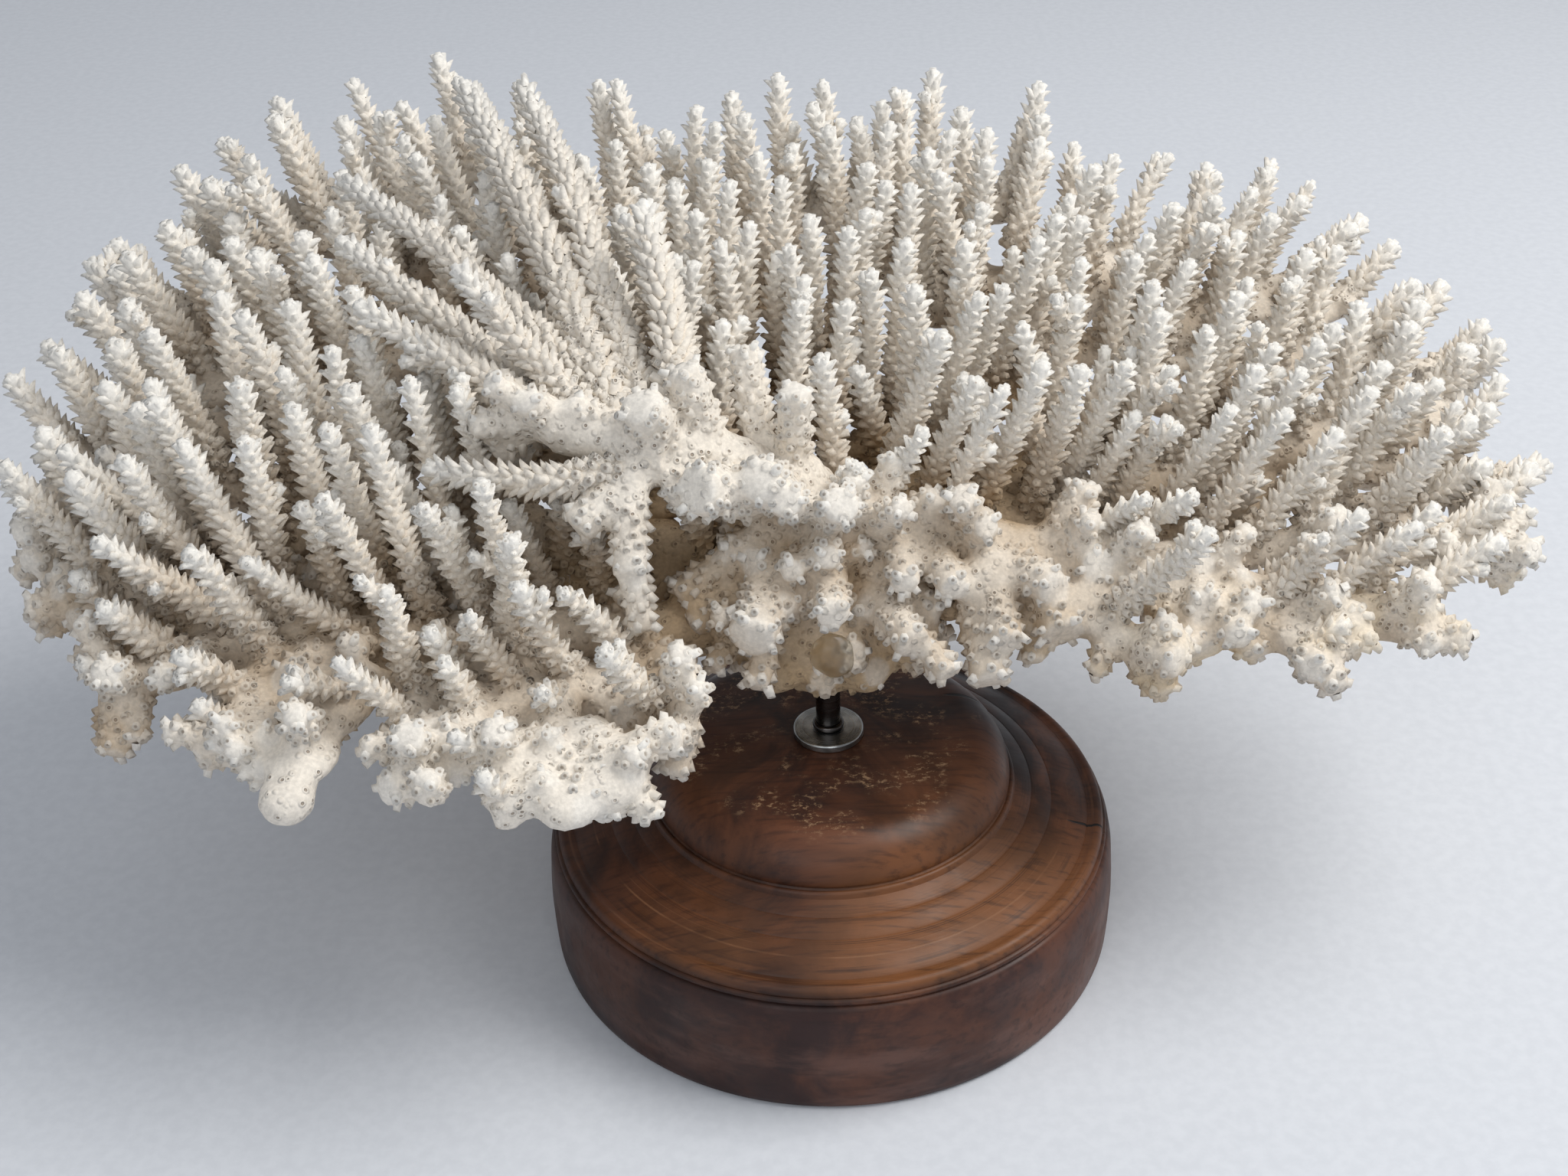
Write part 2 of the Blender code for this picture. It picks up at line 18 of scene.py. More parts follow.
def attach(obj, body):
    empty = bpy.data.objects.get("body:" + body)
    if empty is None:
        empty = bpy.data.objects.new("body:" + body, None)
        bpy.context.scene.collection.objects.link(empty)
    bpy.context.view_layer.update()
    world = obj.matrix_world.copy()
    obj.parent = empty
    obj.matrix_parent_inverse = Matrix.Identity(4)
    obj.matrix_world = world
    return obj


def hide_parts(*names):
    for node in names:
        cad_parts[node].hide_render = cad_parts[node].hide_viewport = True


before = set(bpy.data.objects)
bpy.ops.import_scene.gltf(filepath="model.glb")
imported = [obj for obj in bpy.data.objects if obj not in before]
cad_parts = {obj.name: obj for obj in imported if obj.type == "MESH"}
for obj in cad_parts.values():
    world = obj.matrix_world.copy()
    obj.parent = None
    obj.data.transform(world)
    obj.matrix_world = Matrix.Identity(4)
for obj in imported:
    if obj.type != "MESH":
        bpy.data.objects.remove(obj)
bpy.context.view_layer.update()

# Skeleton of the coral, as in the part's own source
MM = 0.001
FIT_GAP = 0.3

# Stand
DOME_FOOT = (50.6, 49.2)
DOME_TOP = 64.0
DOME_EDGE = 12.0
BORE_DEPTH = 12.0
ROD_RADIUS = 3.4
ROD_TOP = 93.0
COLLAR_RADIUS = 4.4
WASHER_RADIUS = 9.8
WASHER_THICKNESS = 2.0
RESIN_CENTRE = (1.0, -18.0, 103.0)
RESIN_RADII = (6.5, 4.5, 7.5)

# Crown of the coral
SEED = 7
CENTRE = np.array((-4.0, 30.0))
TIP_PITCH = 16.0
CLEARANCE = 0.5
BRANCHLET_RADII = (4.3, 2.6)
SPIKE_RADII = (5.0, 2.8)
SIDE_STEM_REACH = 8.0
FILL_SPACING = 5.0
FILL_GAP = 0.6

# Plan outline of the crown of tips, anticlockwise from the right end
OUTLINE = [
    (206, 44), (194, 96), (156, 132), (98, 146), (36, 158), (-34, 166), (-112, 170), (-176, 158), (-212, 112),
    (-230, 50), (-210, 0), (-176, -28), (-140, -46), (-92, -58), (-50, -50), (-30, -22), (8, -8),
    (50, -14), (100, -22), (150, -20), (190, 0),
]

# The stems of each limb: route, then the radii from its start to its end.
# A point with two numbers lies on the plate that the limbs spread in.
STEMS = {
    "stalk": [
        ([(0, 0, 81), (-2, 4, 97), (-4, 9, 113), (-6, 13, 130), (-14, 15, 144)], (14, 19, 22, 17, 12)),
    ],
    "left_front_limb": [
        ([(-8, 5, 100), (-38, -4), (-72, -6), (-106, -6), (-140, -6), (-172, 2), (-196, 10)], (8.5, 8.5, 5)),
        ([(-148, -5), (-166, -12, 103), (-184, -20, 102)], (8, 6)),
        ([(-140, -6), (-149, -22, 101), (-152, -38, 98)], (7, 5)),
        ([(-84, -6), (-78, -28, 99), (-68, -42, 97), (-54, -52, 96)], (8, 6)),
        ([(-80, -24, 100), (-84, -48, 95), (-79, -68, 92)], (7, 5.5)),
        ([(-106, -6), (-106, -36, 97), (-99, -60, 93)], (6.5, 4.5)),
        ([(-54, -5), (-48, -22, 99), (-37, -34, 98)], (7, 5.5)),
    ],
    "left_limb": [
        ([(-6, 12, 116), (-50, 24), (-95, 34), (-140, 42), (-182, 50), (-208, 54)], (7.5, 8, 5)),
        ([(-118, 38), (-158, 26), (-190, 26), (-210, 28)], (6.5, 4.5)),
    ],
    "upper_left_limb": [
        ([(-12, 14, 136), (-30, 10, 147), (-52, 9, 153), (-76, 17, 158)], (10, 7)),
    ],
    "back_left_limb": [
        ([(-8, 16), (-38, 44), (-76, 72), (-116, 96), (-156, 114), (-182, 124)], (7.5, 7.5, 5)),
        ([(-72, 70), (-94, 108), (-124, 136)], (6.5, 4.5)),
        ([(-112, 94), (-150, 84), (-182, 86), (-200, 88)], (6.5, 4.5)),
    ],
    "back_limb": [
        ([(-4, 18), (-14, 54), (-26, 92), (-36, 132)], (7.5, 7.5, 5)),
        ([(-18, 68), (-46, 106), (-72, 142)], (6.5, 4.5)),
        ([(-12, 50), (6, 90), (12, 132)], (6.5, 4.5)),
    ],
    "back_right_limb": [
        ([(0, 18), (26, 46), (54, 78), (80, 108), (98, 130)], (7.5, 7.5, 5)),
        ([(38, 60), (46, 98), (48, 132)], (6.5, 4.5)),
        ([(60, 84), (98, 96), (134, 110)], (6.5, 4.5)),
    ],
    "right_limb": [
        ([(4, 12), (44, 26), (86, 38), (128, 50), (162, 60), (184, 66)], (7.5, 8, 5)),
        ([(84, 38), (120, 68), (150, 90)], (6.5, 4.5)),
        ([(126, 50), (158, 40), (182, 36)], (6, 4.5)),
    ],
    "right_front_limb": [
        ([(0, 6, 124), (26, 10, 124), (50, 6, 118), (74, 2, 112), (108, -4, 108), (134, -8, 104),
          (150, -10, 103)], (8.5, 9, 6)),
        ([(72, 2, 112), (110, 12, 112), (146, 14, 112), (176, 10, 112)], (6.5, 4.5)),
        ([(62, 4, 114), (72, -12, 107), (82, -20, 104)], (6, 4.5)),
        ([(100, -3, 108), (116, -14, 104), (126, -20, 102)], (6, 4.5)),
    ],
}

# Stems that bear nothing: the pale blade at the front
BARE_STEMS = {
    "left_front_limb": [([(-126, -6), (-130, -24, 101), (-134, -44, 97), (-137, -64, 92)], (10, 6.5))],
}

# Thick broken stubs that face the front: start, end, radius
STUBS = {
    "stalk": [
        ((-14, 10, 136), (-33, -11, 150), 8.0),
        ((-8, 10, 134), (-17, -10, 152), 7.0),
        ((-6, 8, 132), (-10, -12, 147), 5.5),
        ((0, 6, 130), (4, -13, 146), 6.0),
        ((-8, 14, 138), (-7, 12, 166), 5.0),
        ((-16, 16, 142), (-20, 28, 170), 5.0),
        ((-12, 2, 118), (-20, -24, 113), 8.0),
        ((-14, -6, 110), (-19, -25, 98), 4.5),
        ((-20, -4, 108), (-31, -20, 101), 4.0),
        ((0, -2, 118), (1, -24, 119), 5.5),
        ((12, 0, 112), (22, -22, 108), 6.0),
        ((16, -4, 108), (31, -26, 101), 4.5),
        ((8, 4, 98), (30, -8, 96), 9.0),
        ((-14, 4, 126), (-40, -4, 114), 5.0),
        ((-12, 2, 118), (-36, -10, 108), 4.5),
        ((-12, 4, 128), (-27, 0, 124), 5.0),
        ((12, 4, 116), (30, -8, 109), 5.0),
    ],
    "upper_left_limb": [
        ((-40, 10, 148), (-46, 2, 168), 7.0),
        ((-28, 11, 147), (-36, 14, 172), 6.0),
        ((-44, 8, 150), (-64, -8, 138), 6.5),
        ((-50, 8, 152), (-65, 12, 163), 5.0),
        ((-50, 2, 148), (-50, -17, 129), 5.5),
        ((-50, -14, 132), (-48, -19, 113), 4.5),
    ],
    "right_front_limb": [
        ((20, 8, 124), (20, -14, 121), 5.0),
        ((26, 8, 124), (33, -14, 119), 5.0),
        ((42, 6, 120), (35, -2, 141), 5.0),
        ((44, 6, 119), (59, -14, 119), 6.0),
        ((42, 4, 118), (46, -22, 107), 6.0),
        ((38, 4, 118), (42, -24, 97), 6.5),
        ((50, 4, 116), (54, -17, 98), 4.0),
        ((56, 4, 116), (61, -18, 107), 7.5),
        ((68, 4, 113), (71, -7, 121), 5.5),
        ((86, 0, 110), (97, -20, 101), 6.5),
        ((98, -2, 109), (98, -16, 113), 6.0),
    ],
    "left_front_limb": [
        ((-64, -42, 97), (-53, -56, 95), 8.5),
        ((-70, -42, 97), (-62, -66, 92), 7.5),
        ((-90, -16, 102), (-104, -20, 115), 5.0),
        ((-84, -30, 98), (-97, -50, 93), 6.0),
        ((-56, -8, 104), (-37, -24, 105), 5.5),
    ],
}

# The long spiky branches of the upper left limb: all but the last sweep up and back
SPIKES = [
    [(-48, 14, 153), (-92, 60, 174), (-133, 102, 188)],
    [(-52, 12, 153), (-78, 82, 183), (-101, 134, 204)],
    [(-62, 14, 155), (-98, 48, 170), (-131, 75, 182)],
    [(-66, 14, 156), (-94, 28, 168), (-121, 38, 180)],
    [(-74, 16, 157), (-90, 24, 166), (-108, 31, 172)],
    [(-44, 12, 151), (-64, 78, 184), (-84, 134, 204)],
    [(-36, 12, 149), (-40, 40, 175), (-46, 62, 196)],
    [(-56, 10, 154), (-78, 26, 172), (-94, 38, 190)],
    [(-44, 6, 151), (-72, -3, 149), (-102, 4, 150)],
]


def unit(vector):
    return vector / np.linalg.norm(vector)


def plate_height(x, y):
    """Height of the limbs: the plate that they spread in climbs to the back and to both ends."""
    reach = math.hypot(x, y)
    return 103.0 + 0.33 * max(y, 0.0) + 0.0003 * max(reach - 90.0, 0.0) ** 2


def crown_height(x, y):
    """Height that upright branchlets reach: most at the back, least at the front edge and the right end."""
    front = 0.010 * max(15.0 - y, 0.0) ** 2
    ends = 0.0040 * max(abs(x + 5.0) - 150.0, 0.0) ** 2
    return 168.0 + 0.21 * max(y, 0.0) - front - ends - 0.15 * max(x - 50.0, 0.0)


def on_plate(point):
    return np.array(point if len(point) == 3 else (*point, plate_height(*point)), float)


class Rod:
    """A tapered round length of coral: its points and the radius at each."""

    def __init__(self, points, radii, kind):
        self.points = [np.asarray(point, float) for point in points]
        stations = np.linspace(0, 1, len(points))
        self.radii = list(np.interp(stations, np.linspace(0, 1, len(radii)), radii))
        self.kind = kind

    def segments(self):
        return list(zip(self.points, self.points[1:], self.radii, self.radii[1:]))


def segment_distance(a, b, c, d):
    """Shortest distance between the segments a-b and c-d."""
    u, v, w = b - a, d - c, a - c
    uu, uv, vv, uw, vw = u @ u, u @ v, v @ v, u @ w, v @ w
    spread = uu * vv - uv * uv
    s = min(max((uv * vw - vv * uw) / spread, 0.0), 1.0) if spread > 1e-9 else 0.0
    t = min(max((uv * s + vw) / vv, 0.0), 1.0)
    s = min(max((uv * t - uw) / uu, 0.0), 1.0)
    return np.linalg.norm(w + s * u - t * v)


def rod_gap(one, two):
    """Clear distance between two rods, below zero where they overlap."""
    best = math.inf
    for a, b, start, end in one.segments():
        for c, d, other_start, other_end in two.segments():
            reach = max(start, end) + max(other_start, other_end)
            best = min(best, segment_distance(a, b, c, d) - reach)
    return best


def edge_distance(x, y):
    """Distance from a plan point to the crown's outline, below zero outside it."""
    inside = False
    best = math.inf
    for (ax, ay), (bx, by) in zip(OUTLINE, OUTLINE[1:] + OUTLINE[:1]):
        share = ((x - ax) * (bx - ax) + (y - ay) * (by - ay)) / ((bx - ax) ** 2 + (by - ay) ** 2)
        share = min(max(share, 0.0), 1.0)
        best = min(best, math.hypot(x - ax - share * (bx - ax), y - ay - share * (by - ay)))
        if (ay > y) != (by > y) and x < ax + (y - ay) * (bx - ax) / (by - ay):
            inside = not inside
    return best if inside else -best


def branchlet_direction(x, y, rng):
    """Upright inside the crown, most of all in its left half, and more and more outward towards its edge."""
    away = np.array((x, y)) - CENTRE
    near_edge = 1.0 - min(max(edge_distance(x, y) / 60.0, 0.0), 1.0)
    at_ends = abs(away[0]) / (abs(away[0]) + abs(away[1]))
    spread = 14.0 if away[0] > 0.0 else 4.0
    lean = 4.0 + spread * min(abs(away[0]) / 130.0, 1.0) + (12.0 + 42.0 * at_ends) * near_edge ** 1.6
    lean = math.radians(lean + rng.uniform(-4, 4))
    heading = math.atan2(away[1], away[0]) + rng.uniform(-0.2, 0.2)
    return np.array((math.sin(lean) * math.cos(heading), math.sin(lean) * math.sin(heading), math.cos(lean)))


def tip_places(rng):
    """Plan places of the branchlet tips: an uneven honeycomb inside the outline, the inner ones first."""
    places = []
    for row in range(-6, 16):
        for column in range(-18, 18):
            x = (column + 0.5 * (row % 2) + rng.uniform(-0.22, 0.22)) * TIP_PITCH
            y = (row * math.sqrt(3) / 2 + rng.uniform(-0.22, 0.22)) * TIP_PITCH
            if edge_distance(x, y) > 0:
                places.append((x, y))
    return sorted(places, key=lambda place: math.hypot(place[0], place[1] * 1.4))


def nearest_stems(point, rods):
    """For each limb the place on its stems nearest to a point, as distance, limb, place and radius there."""
    found = []
    for limb, entries in rods.items():
        choices = []
        for rod in entries:
            if rod.kind != "stem":
                continue
            for a, b, start, end in rod.segments():
                share = min(max((point - a) @ (b - a) / ((b - a) @ (b - a)), 0.0), 1.0)
                place = a + share * (b - a)
                choices.append((np.linalg.norm(point - place), limb, place, start + share * (end - start)))
        if choices:
            found.append(min(choices, key=lambda choice: choice[0]))
    return sorted(found, key=lambda choice: choice[0])


def clear_of_other_limbs(rod, limb, rods):
    return all(rod_gap(rod, entry) > CLEARANCE for other in rods if other != limb for entry in rods[other])


def add_branchlet(x, y, upright, choice, rods, rng):
    """Adds a branchlet with its tip over (x, y), and the side stem that it needs, if there is room."""
    direction = unit(branchlet_direction(x, y, rng) + (0, 0, upright))
    top = crown_height(x, y) - rng.uniform(0, 7) - 28.0 * (1 - direction[2])
    tip = np.array((x, y, top))
    length = min(max((top - plate_height(x, y)) / direction[2], 24.0), 60.0)
    foot = tip - length * direction
    distance, limb, place, radius = nearest_stems(foot, rods)[choice]
    if distance > 40.0:
        return False
    new_rods = []
    if distance > radius + SIDE_STEM_REACH:
        reach = unit(foot - place)
        foot = place + distance * reach
        new_rods.append(Rod([place, foot + 1.5 * reach], (min(radius, 5.0) * 0.9, 3.8), "stem"))
    else:
        foot = place
    new_rods.append(Rod([foot, tip], BRANCHLET_RADII, "branchlet"))
    if not all(clear_of_other_limbs(rod, limb, rods) for rod in new_rods):
        return False
    if any(rod_gap(new_rods[-1], entry) < -0.6 for entry in rods[limb] if entry.kind != "stem"):
        return False
    rods[limb] += new_rods
    return True


def places_along(rod, spacing):
    """Points at even steps along a rod, from half a step past its start."""
    lengths = [np.linalg.norm(end - start) for start, end in zip(rod.points, rod.points[1:])]
    ends = np.cumsum([0.0] + lengths)
    for place in np.arange(0.5 * spacing, ends[-1], spacing):
        yield np.array([np.interp(place, ends, [point[axis] for point in rod.points]) for axis in range(3)])


def fill_gaps(limb, rods, rng):
    """Stands more branchlets on a limb's stems wherever there is still room for one."""
    for stem in [entry for entry in rods[limb] if entry.kind == "stem"]:
        for place in places_along(stem, FILL_SPACING):
            direction = branchlet_direction(place[0], place[1], rng)
            top = crown_height(place[0], place[1]) - rng.uniform(0, 14) - 28.0 * (1 - direction[2])
            length = min(max((top - place[2]) / direction[2], 18.0), 56.0)
            while length > 15.0 and edge_distance(*(place + length * direction)[:2]) < 0:
                length -= 3.0
            branchlet = Rod([place, place + length * direction], BRANCHLET_RADII, "branchlet")
            mates = [entry for entry in rods[limb] if entry.kind != "stem"]
            if not clear_of_other_limbs(branchlet, limb, rods):
                continue
            if all(rod_gap(branchlet, mate) > FILL_GAP for mate in mates):
                rods[limb].append(branchlet)


def grow_coral():
    """The rods of every limb: stems, stubs and spikes as listed, then side stems and branchlets by rule."""
    rng = random.Random(SEED)
    rods = {}
    for limb, stems in STEMS.items():
        rods[limb] = [Rod([on_plate(point) for point in route], radii, "stem") for route, radii in stems]
    for limb, stems in BARE_STEMS.items():
        rods[limb] += [Rod([on_plate(point) for point in route], radii, "bare") for route, radii in stems]
    for limb, stubs in STUBS.items():
        rods[limb] += [Rod([start, end], (radius, radius * 0.9), "stub") for start, end, radius in stubs]
    rods["upper_left_limb"] += [Rod(route, SPIKE_RADII, "spike") for route in SPIKES]
    for x, y in tip_places(rng):
        for attempt in range(10):
            stray = 0.9 * attempt
            x_try = x + rng.uniform(-stray, stray)
            y_try = y + rng.uniform(-stray, stray)
            if add_branchlet(x_try, y_try, 0.06 * attempt, attempt % 3, rods, rng):
                break
    for limb in rods:
        if limb != "stalk":
            fill_gaps(limb, rods, rng)
    return rods


# Dressing of the coral
THICKER = 1.1
SPIKE_THICKER = 1.2
CORE_SHARE = 0.66
CUP_SPACING = 3.2
STUB_CUP_SPACING = 3.5
GOLDEN_ANGLE = math.radians(137.508)
FULL_TURN = 6.28
FULL_RADIUS = 4.3
CORE_SIDES = 6
TIP_CUPS = 5
SINK = 1.2
FOOT_SPREAD = 1.35
LINE_STEP = 5.0
STEM_STEP = 4.0
SAMPLE_STEP = 3.0
FAR_AWAY = 1e4

# Cups: height and width at full size, lean and fold in degrees of those low on a branchlet, the Y behind
# which they aren't open, and lean and fold of the scales
CUP_HEIGHT = 1.85
CUP_WIDTH = 1.1
LOW_CUPS = (62, 12)
LOW_CUPS_FRONT = 25.0
SCALES = (48, 56)

# Shares of the skeleton's radii that the fused body has, and the flare of a branchlet's foot along it
STEM_SHARE = 0.94
STUB_SHARE = 0.95
TRUNK_SHARE = 0.74
TRUNK_RADIUS = 12.0
BLADE_SHARE = 0.7
FOOT_LENGTH = 9.0
FOOT_FLARE = np.array((1.5, 1.0, 0.75, 0.55))
BODY_VOXEL = 1.6
LUMP_SCALE = 7.0
BODY_LUMPS = 1.9
RESIN_LUMPS = 2.6
RESIN_SHARE = 0.9

# Depth in the crown at which the coral's painted shade and tan tone are darkest, and how much painted shade
# the hollow behind the stalk adds
DEEP = 75.0
HOLLOW_SHADE = 0.22

# Whiteness of the body, of the broken ends, and how far a broken end's whiteness reaches
BODY_WHITE = 0.15
STUB_WHITE = 0.78
WHITE_REACH = 5.0

# Branchlets between those of the solids: the pitch and the reach of their grid, then the room that each
# needs, how far a stem may be, the least and greatest length, the scatter of the lean and a side stem's radii
MORE_PITCH = 10.5
MORE_WIDTH = 460.0
MORE_FRONT = 90.0
MORE_BACK = 180.0
MORE_CLEARANCE = 8.0
MORE_REACH = 30.0
LEAST_LENGTH = 15.0
MOST_LENGTH = 56.0
SCATTER = 0.16
SIDE_STEM_RADII = (5.2, 4.2)

# Side twigs: the least length of a branchlet that bears one, the share that bear none, and a twig's radii
TWIG_BEARER = 22.0
BARE_OF_TWIGS = 0.35
TWIG_RADII = (3.0, 2.3)

# Knobs that crowd the front of some limbs: how many to try for at each step along a limb's stems, and how
# many times as many at a stem's end
KNOBS = {"stalk": 9, "left_front_limb": 2, "left_limb": 1, "upper_left_limb": 1, "right_front_limb": 3}
KNOB_STEP = 5.0
KNOB_GAP = 9.0
END_KNOB_GAP = 6.5
KNOB_FRONT = np.array((0.0, -0.82, 0.36))
KNOB_LOWEST = 84.0
STALK_KNOBS_TOP = 132.0
END_TRIES = 8
KNOB_LENGTHS = (6, 15)
STALK_KNOB_LENGTHS = (1, 8)
KNOB_RADII = (3.2, 5.2)

# Broad worn plates at the front, and the webs that join stems elsewhere: centre, half sizes and turn about Z
# in degrees
PLATES = {
    "stalk": [
        ((-1, -3, 98), (16, 12.5, 13), 0), ((-14, -10, 92), (7, 6, 6), 0), ((10, -9, 91), (7, 6, 6), 0),
    ],
    "left_front_limb": [
        ((-130, -29, 100), (13, 14, 6.5), -12), ((-134, -46, 97), (10, 13, 5), -8),
        ((-136, -59, 93), (7.5, 7, 6), 0), ((-57, -57, 94), (11, 9, 7), 30),
        ((-66, -62, 93), (9, 10, 6), -10), ((-78, -52, 97), (13, 9, 6), 0), ((-92, -14, 102), (18, 9, 7), 0),
    ],
    "right_front_limb": [
        ((44, -4, 116), (12, 8, 9), 20), ((95, -12, 103), (11, 9, 7), 0), ((122, -8, 105), (15, 8, 6), -8),
        ((66, -8, 109), (12, 9, 8), 10),
    ],
    "back_right_limb": [
        ((37, 108, 139), (10, 8, 4), -12), ((108, 95, 135), (10, 8, 4), -67), ((99, 71, 128), (11, 8, 4), 90),
        ((131, 104, 139), (10, 8, 4), -54), ((56, 118, 143), (10, 8, 4), 77),
    ],
    "right_limb": [
        ((57, 47, 118), (11, 8, 4), 12), ((166, 57, 124), (10, 8, 4), -79), ((176, 62, 126), (9, 8, 4), 90),
        ((32, 3, 106), (10, 8, 5), -67),
    ],
    "back_left_limb": [
        ((-175, 81, 133), (10, 8, 4), 78), ((-78, 58, 122), (10, 8, 4), -64),
        ((-43, 40, 117), (11, 8, 4), 41),
    ],
    "left_limb": [((-173, 67, 128), (11, 8, 4), 18), ((-46, 29, 112), (10, 8, 4), 108)],
}

# Camera, fitted to the stand's circles in the photograph's frame
PHOTO_WIDTH = 2048
FOCAL_PIXELS = 2800.0
SENSOR_WIDTH = 36.0
CAMERA_PLACE = (-11.2, -474.96, 427.04)
CAMERA_PITCH = math.radians(33.52)
CAMERA_ROLL = math.radians(1.67)

# Stage, in metres
FLOOR_REACH = 4.0
LIT_PLACE = (0.0, 0.03, 0.1)


def make_camera():
    data = bpy.data.cameras.new("camera")
    data.sensor_width = SENSOR_WIDTH
    data.lens = FOCAL_PIXELS / PHOTO_WIDTH * SENSOR_WIDTH
    camera = bpy.data.objects.new("camera", data)
    bpy.context.scene.collection.objects.link(camera)
    pitch = Matrix.Rotation(math.pi / 2 - CAMERA_PITCH, 4, "X")
    roll = Matrix.Rotation(-CAMERA_ROLL, 4, "Z")
    camera.matrix_world = Matrix.Translation(Vector(CAMERA_PLACE) * MM) @ pitch @ roll
    bpy.context.scene.camera = camera


def unit_rows(rows):
    return rows / np.linalg.norm(rows, axis=-1, keepdims=True)


def share_between(values, zero, one):
    """0 at one value and beyond it, 1 at the other, and even in between."""
    return np.clip((values - zero) / (one - zero), 0.0, 1.0)


def around(turns, one, two):
    """Unit vectors at the given turns in the plane of two others."""
    return np.cos(turns)[:, None] * one + np.sin(turns)[:, None] * two


class Shells:
    """Closed shells gathered for one mesh, with two values at each vertex: how near a tip it is, and how much
    painted shade it gets in a pit.
    """

    def __init__(self):
        self.points = []
        self.faces = []
        self.tips = []
        self.pit_shades = []
        self.count = 0

    def add(self, points, faces, tips, pit_shades):
        """Adds copies of one shell: points (copies, n, 3), faces (m, 3), tips and pits (copies, n)."""
        copies, size = points.shape[:2]
        offsets = self.count + size * np.arange(copies)
        self.points.append(points.reshape(-1, 3))
        self.faces.append((faces[None] + offsets[:, None, None]).reshape(-1, 3))
        self.tips.append(np.broadcast_to(tips, (copies, size)).ravel())
        self.pit_shades.append(np.broadcast_to(pit_shades, (copies, size)).ravel())
        self.count += copies * size

    def add_mesh(self, mesh, tips):
        """Adds a mesh of another making, in metres."""
        mesh.calc_loop_triangles()
        points = np.empty(len(mesh.vertices) * 3, np.float32)
        faces = np.empty(len(mesh.loop_triangles) * 3, np.int32)
        mesh.vertices.foreach_get("co", points)
        mesh.loop_triangles.foreach_get("vertices", faces)
        points = points.reshape(1, -1, 3) / MM
        self.add(points, faces.reshape(-1, 3), tips(points[0]), np.zeros(1))

    def mesh(self, name):
        points = np.concatenate(self.points)
        faces = np.concatenate(self.faces).astype(np.int32)
        mesh = bpy.data.meshes.new(name)
        mesh.vertices.add(len(points))
        mesh.vertices.foreach_set("co", (points * MM).astype(np.float32).ravel())
        mesh.loops.add(faces.size)
        mesh.loops.foreach_set("vertex_index", faces.ravel())
        mesh.polygons.add(len(faces))
        mesh.polygons.foreach_set("loop_start", np.arange(0, faces.size, 3, dtype=np.int32))
        mesh.polygons.foreach_set("loop_total", np.full(len(faces), 3, np.int32))
        mesh.update(calc_edges=True)
        # Values for the material: nearness to a tip, the pits' painted shade, and the painted shade and tan
        # tone by depth
        for label, values in (("tip", self.tips), ("pit", self.pit_shades), ("deep", [depths(points)])):
            painted = mesh.attributes.new(label, "FLOAT", "POINT")
            painted.data.foreach_set("value", np.concatenate(values).astype(np.float32))
        mesh.shade_smooth()
        return mesh


def depths(points):
    """How deep each point lies in the crown, for its painted shade and tan tone: 0 at the height of the tips,
    1 at DEEP below it or more.
    """
    tops = np.array([crown_height(x, y) for x, y in points[:, :2].tolist()])
    x, y, z = points.T
    # Painted shade in the hollow behind the stalk
    hollow = share_between(y, -14.0, 8.0) * share_between(z, 148.0, 128.0)
    hollow = hollow * share_between(np.abs(x), 70.0, 50.0)
    return np.clip((tops - z) / DEEP + HOLLOW_SHADE * hollow, 0.0, 1.0)


def tube_faces(rings, sides):
    """Triangles of a closed tube whose vertices run ring by ring, then the middle of each end."""
    faces = []
    for ring in range(rings - 1):
        for side in range(sides):
            here = ring * sides + side
            beside = ring * sides + (side + 1) % sides
            faces += [(here, beside, beside + sides), (here, beside + sides, here + sides)]
    for side in range(sides):
        beside = (side + 1) % sides
        faces.append((rings * sides, beside, side))
        last = (rings - 1) * sides
        faces.append((rings * sides + 1, last + side, last + beside))
    return np.array(faces)


def line_frames(points):
    """The direction of a line at each of its points and two normals that turn as little as possible."""
    ahead = unit_rows(np.gradient(points, axis=0))
    normal = np.eye(3)[np.argmin(np.abs(ahead[0]))]
    normals = []
    for direction in ahead:
        normal = normal - (normal @ direction) * direction
        normal = normal / np.linalg.norm(normal)
        normals.append(normal)
    normals = np.array(normals)
    return ahead, normals, np.cross(ahead, normals)


def smooth_line(points, radii, step):
    """Points about a step apart on a smooth curve through the given ones, and the radius at each."""
    points = np.asarray(points, float)
    padded = np.vstack([2 * points[0] - points[1], points, 2 * points[-1] - points[-2]])
    line = []
    line_radii = []
    for place in range(len(points) - 1):
        before, start, end, after = padded[place:place + 4]
        count = max(int(round(np.linalg.norm(end - start) / step)), 2)
        for share in np.arange(count) / count:
            bend = 2 * start + (end - before) * share
            bend = bend + (2 * before - 5 * start + 4 * end - after) * share ** 2
            line.append(0.5 * (bend + (3 * start - before - 3 * end + after) * share ** 3))
            line_radii.append(radii[place] + share * (radii[place + 1] - radii[place]))
    return np.array(line + [points[-1]]), np.array(line_radii + [radii[-1]])


def bowed_line(rod, chance):
    """The centre line of a branchlet: its two ends, joined with a slight bow and waver."""
    near_end = min(max(abs(rod.points[0][0]) - 110.0, 0.0) / 70.0, 1.0)
    thicker = THICKER * chance.uniform(0.88, 1.14) * (1.0 + 0.28 * near_end)
    if rod.kind == "spike":
        thicker *= SPIKE_THICKER
    line, radii = smooth_line(rod.points, thicker * np.array(rod.radii), LINE_STEP)
    share = np.linspace(0, 1, len(line))
    ahead, normal, binormal = line_frames(line)
    turn = chance.uniform(0, 2 * math.pi)
    bow = chance.uniform(0.2, 2.8) * np.sin(math.pi * share)
    waver = 0.7 * np.sin(2.6 * math.pi * share + turn) * np.sin(math.pi * share)
    line = line + bow[:, None] * (math.cos(turn) * normal + math.sin(turn) * binormal)
    return line + waver[:, None] * normal, radii


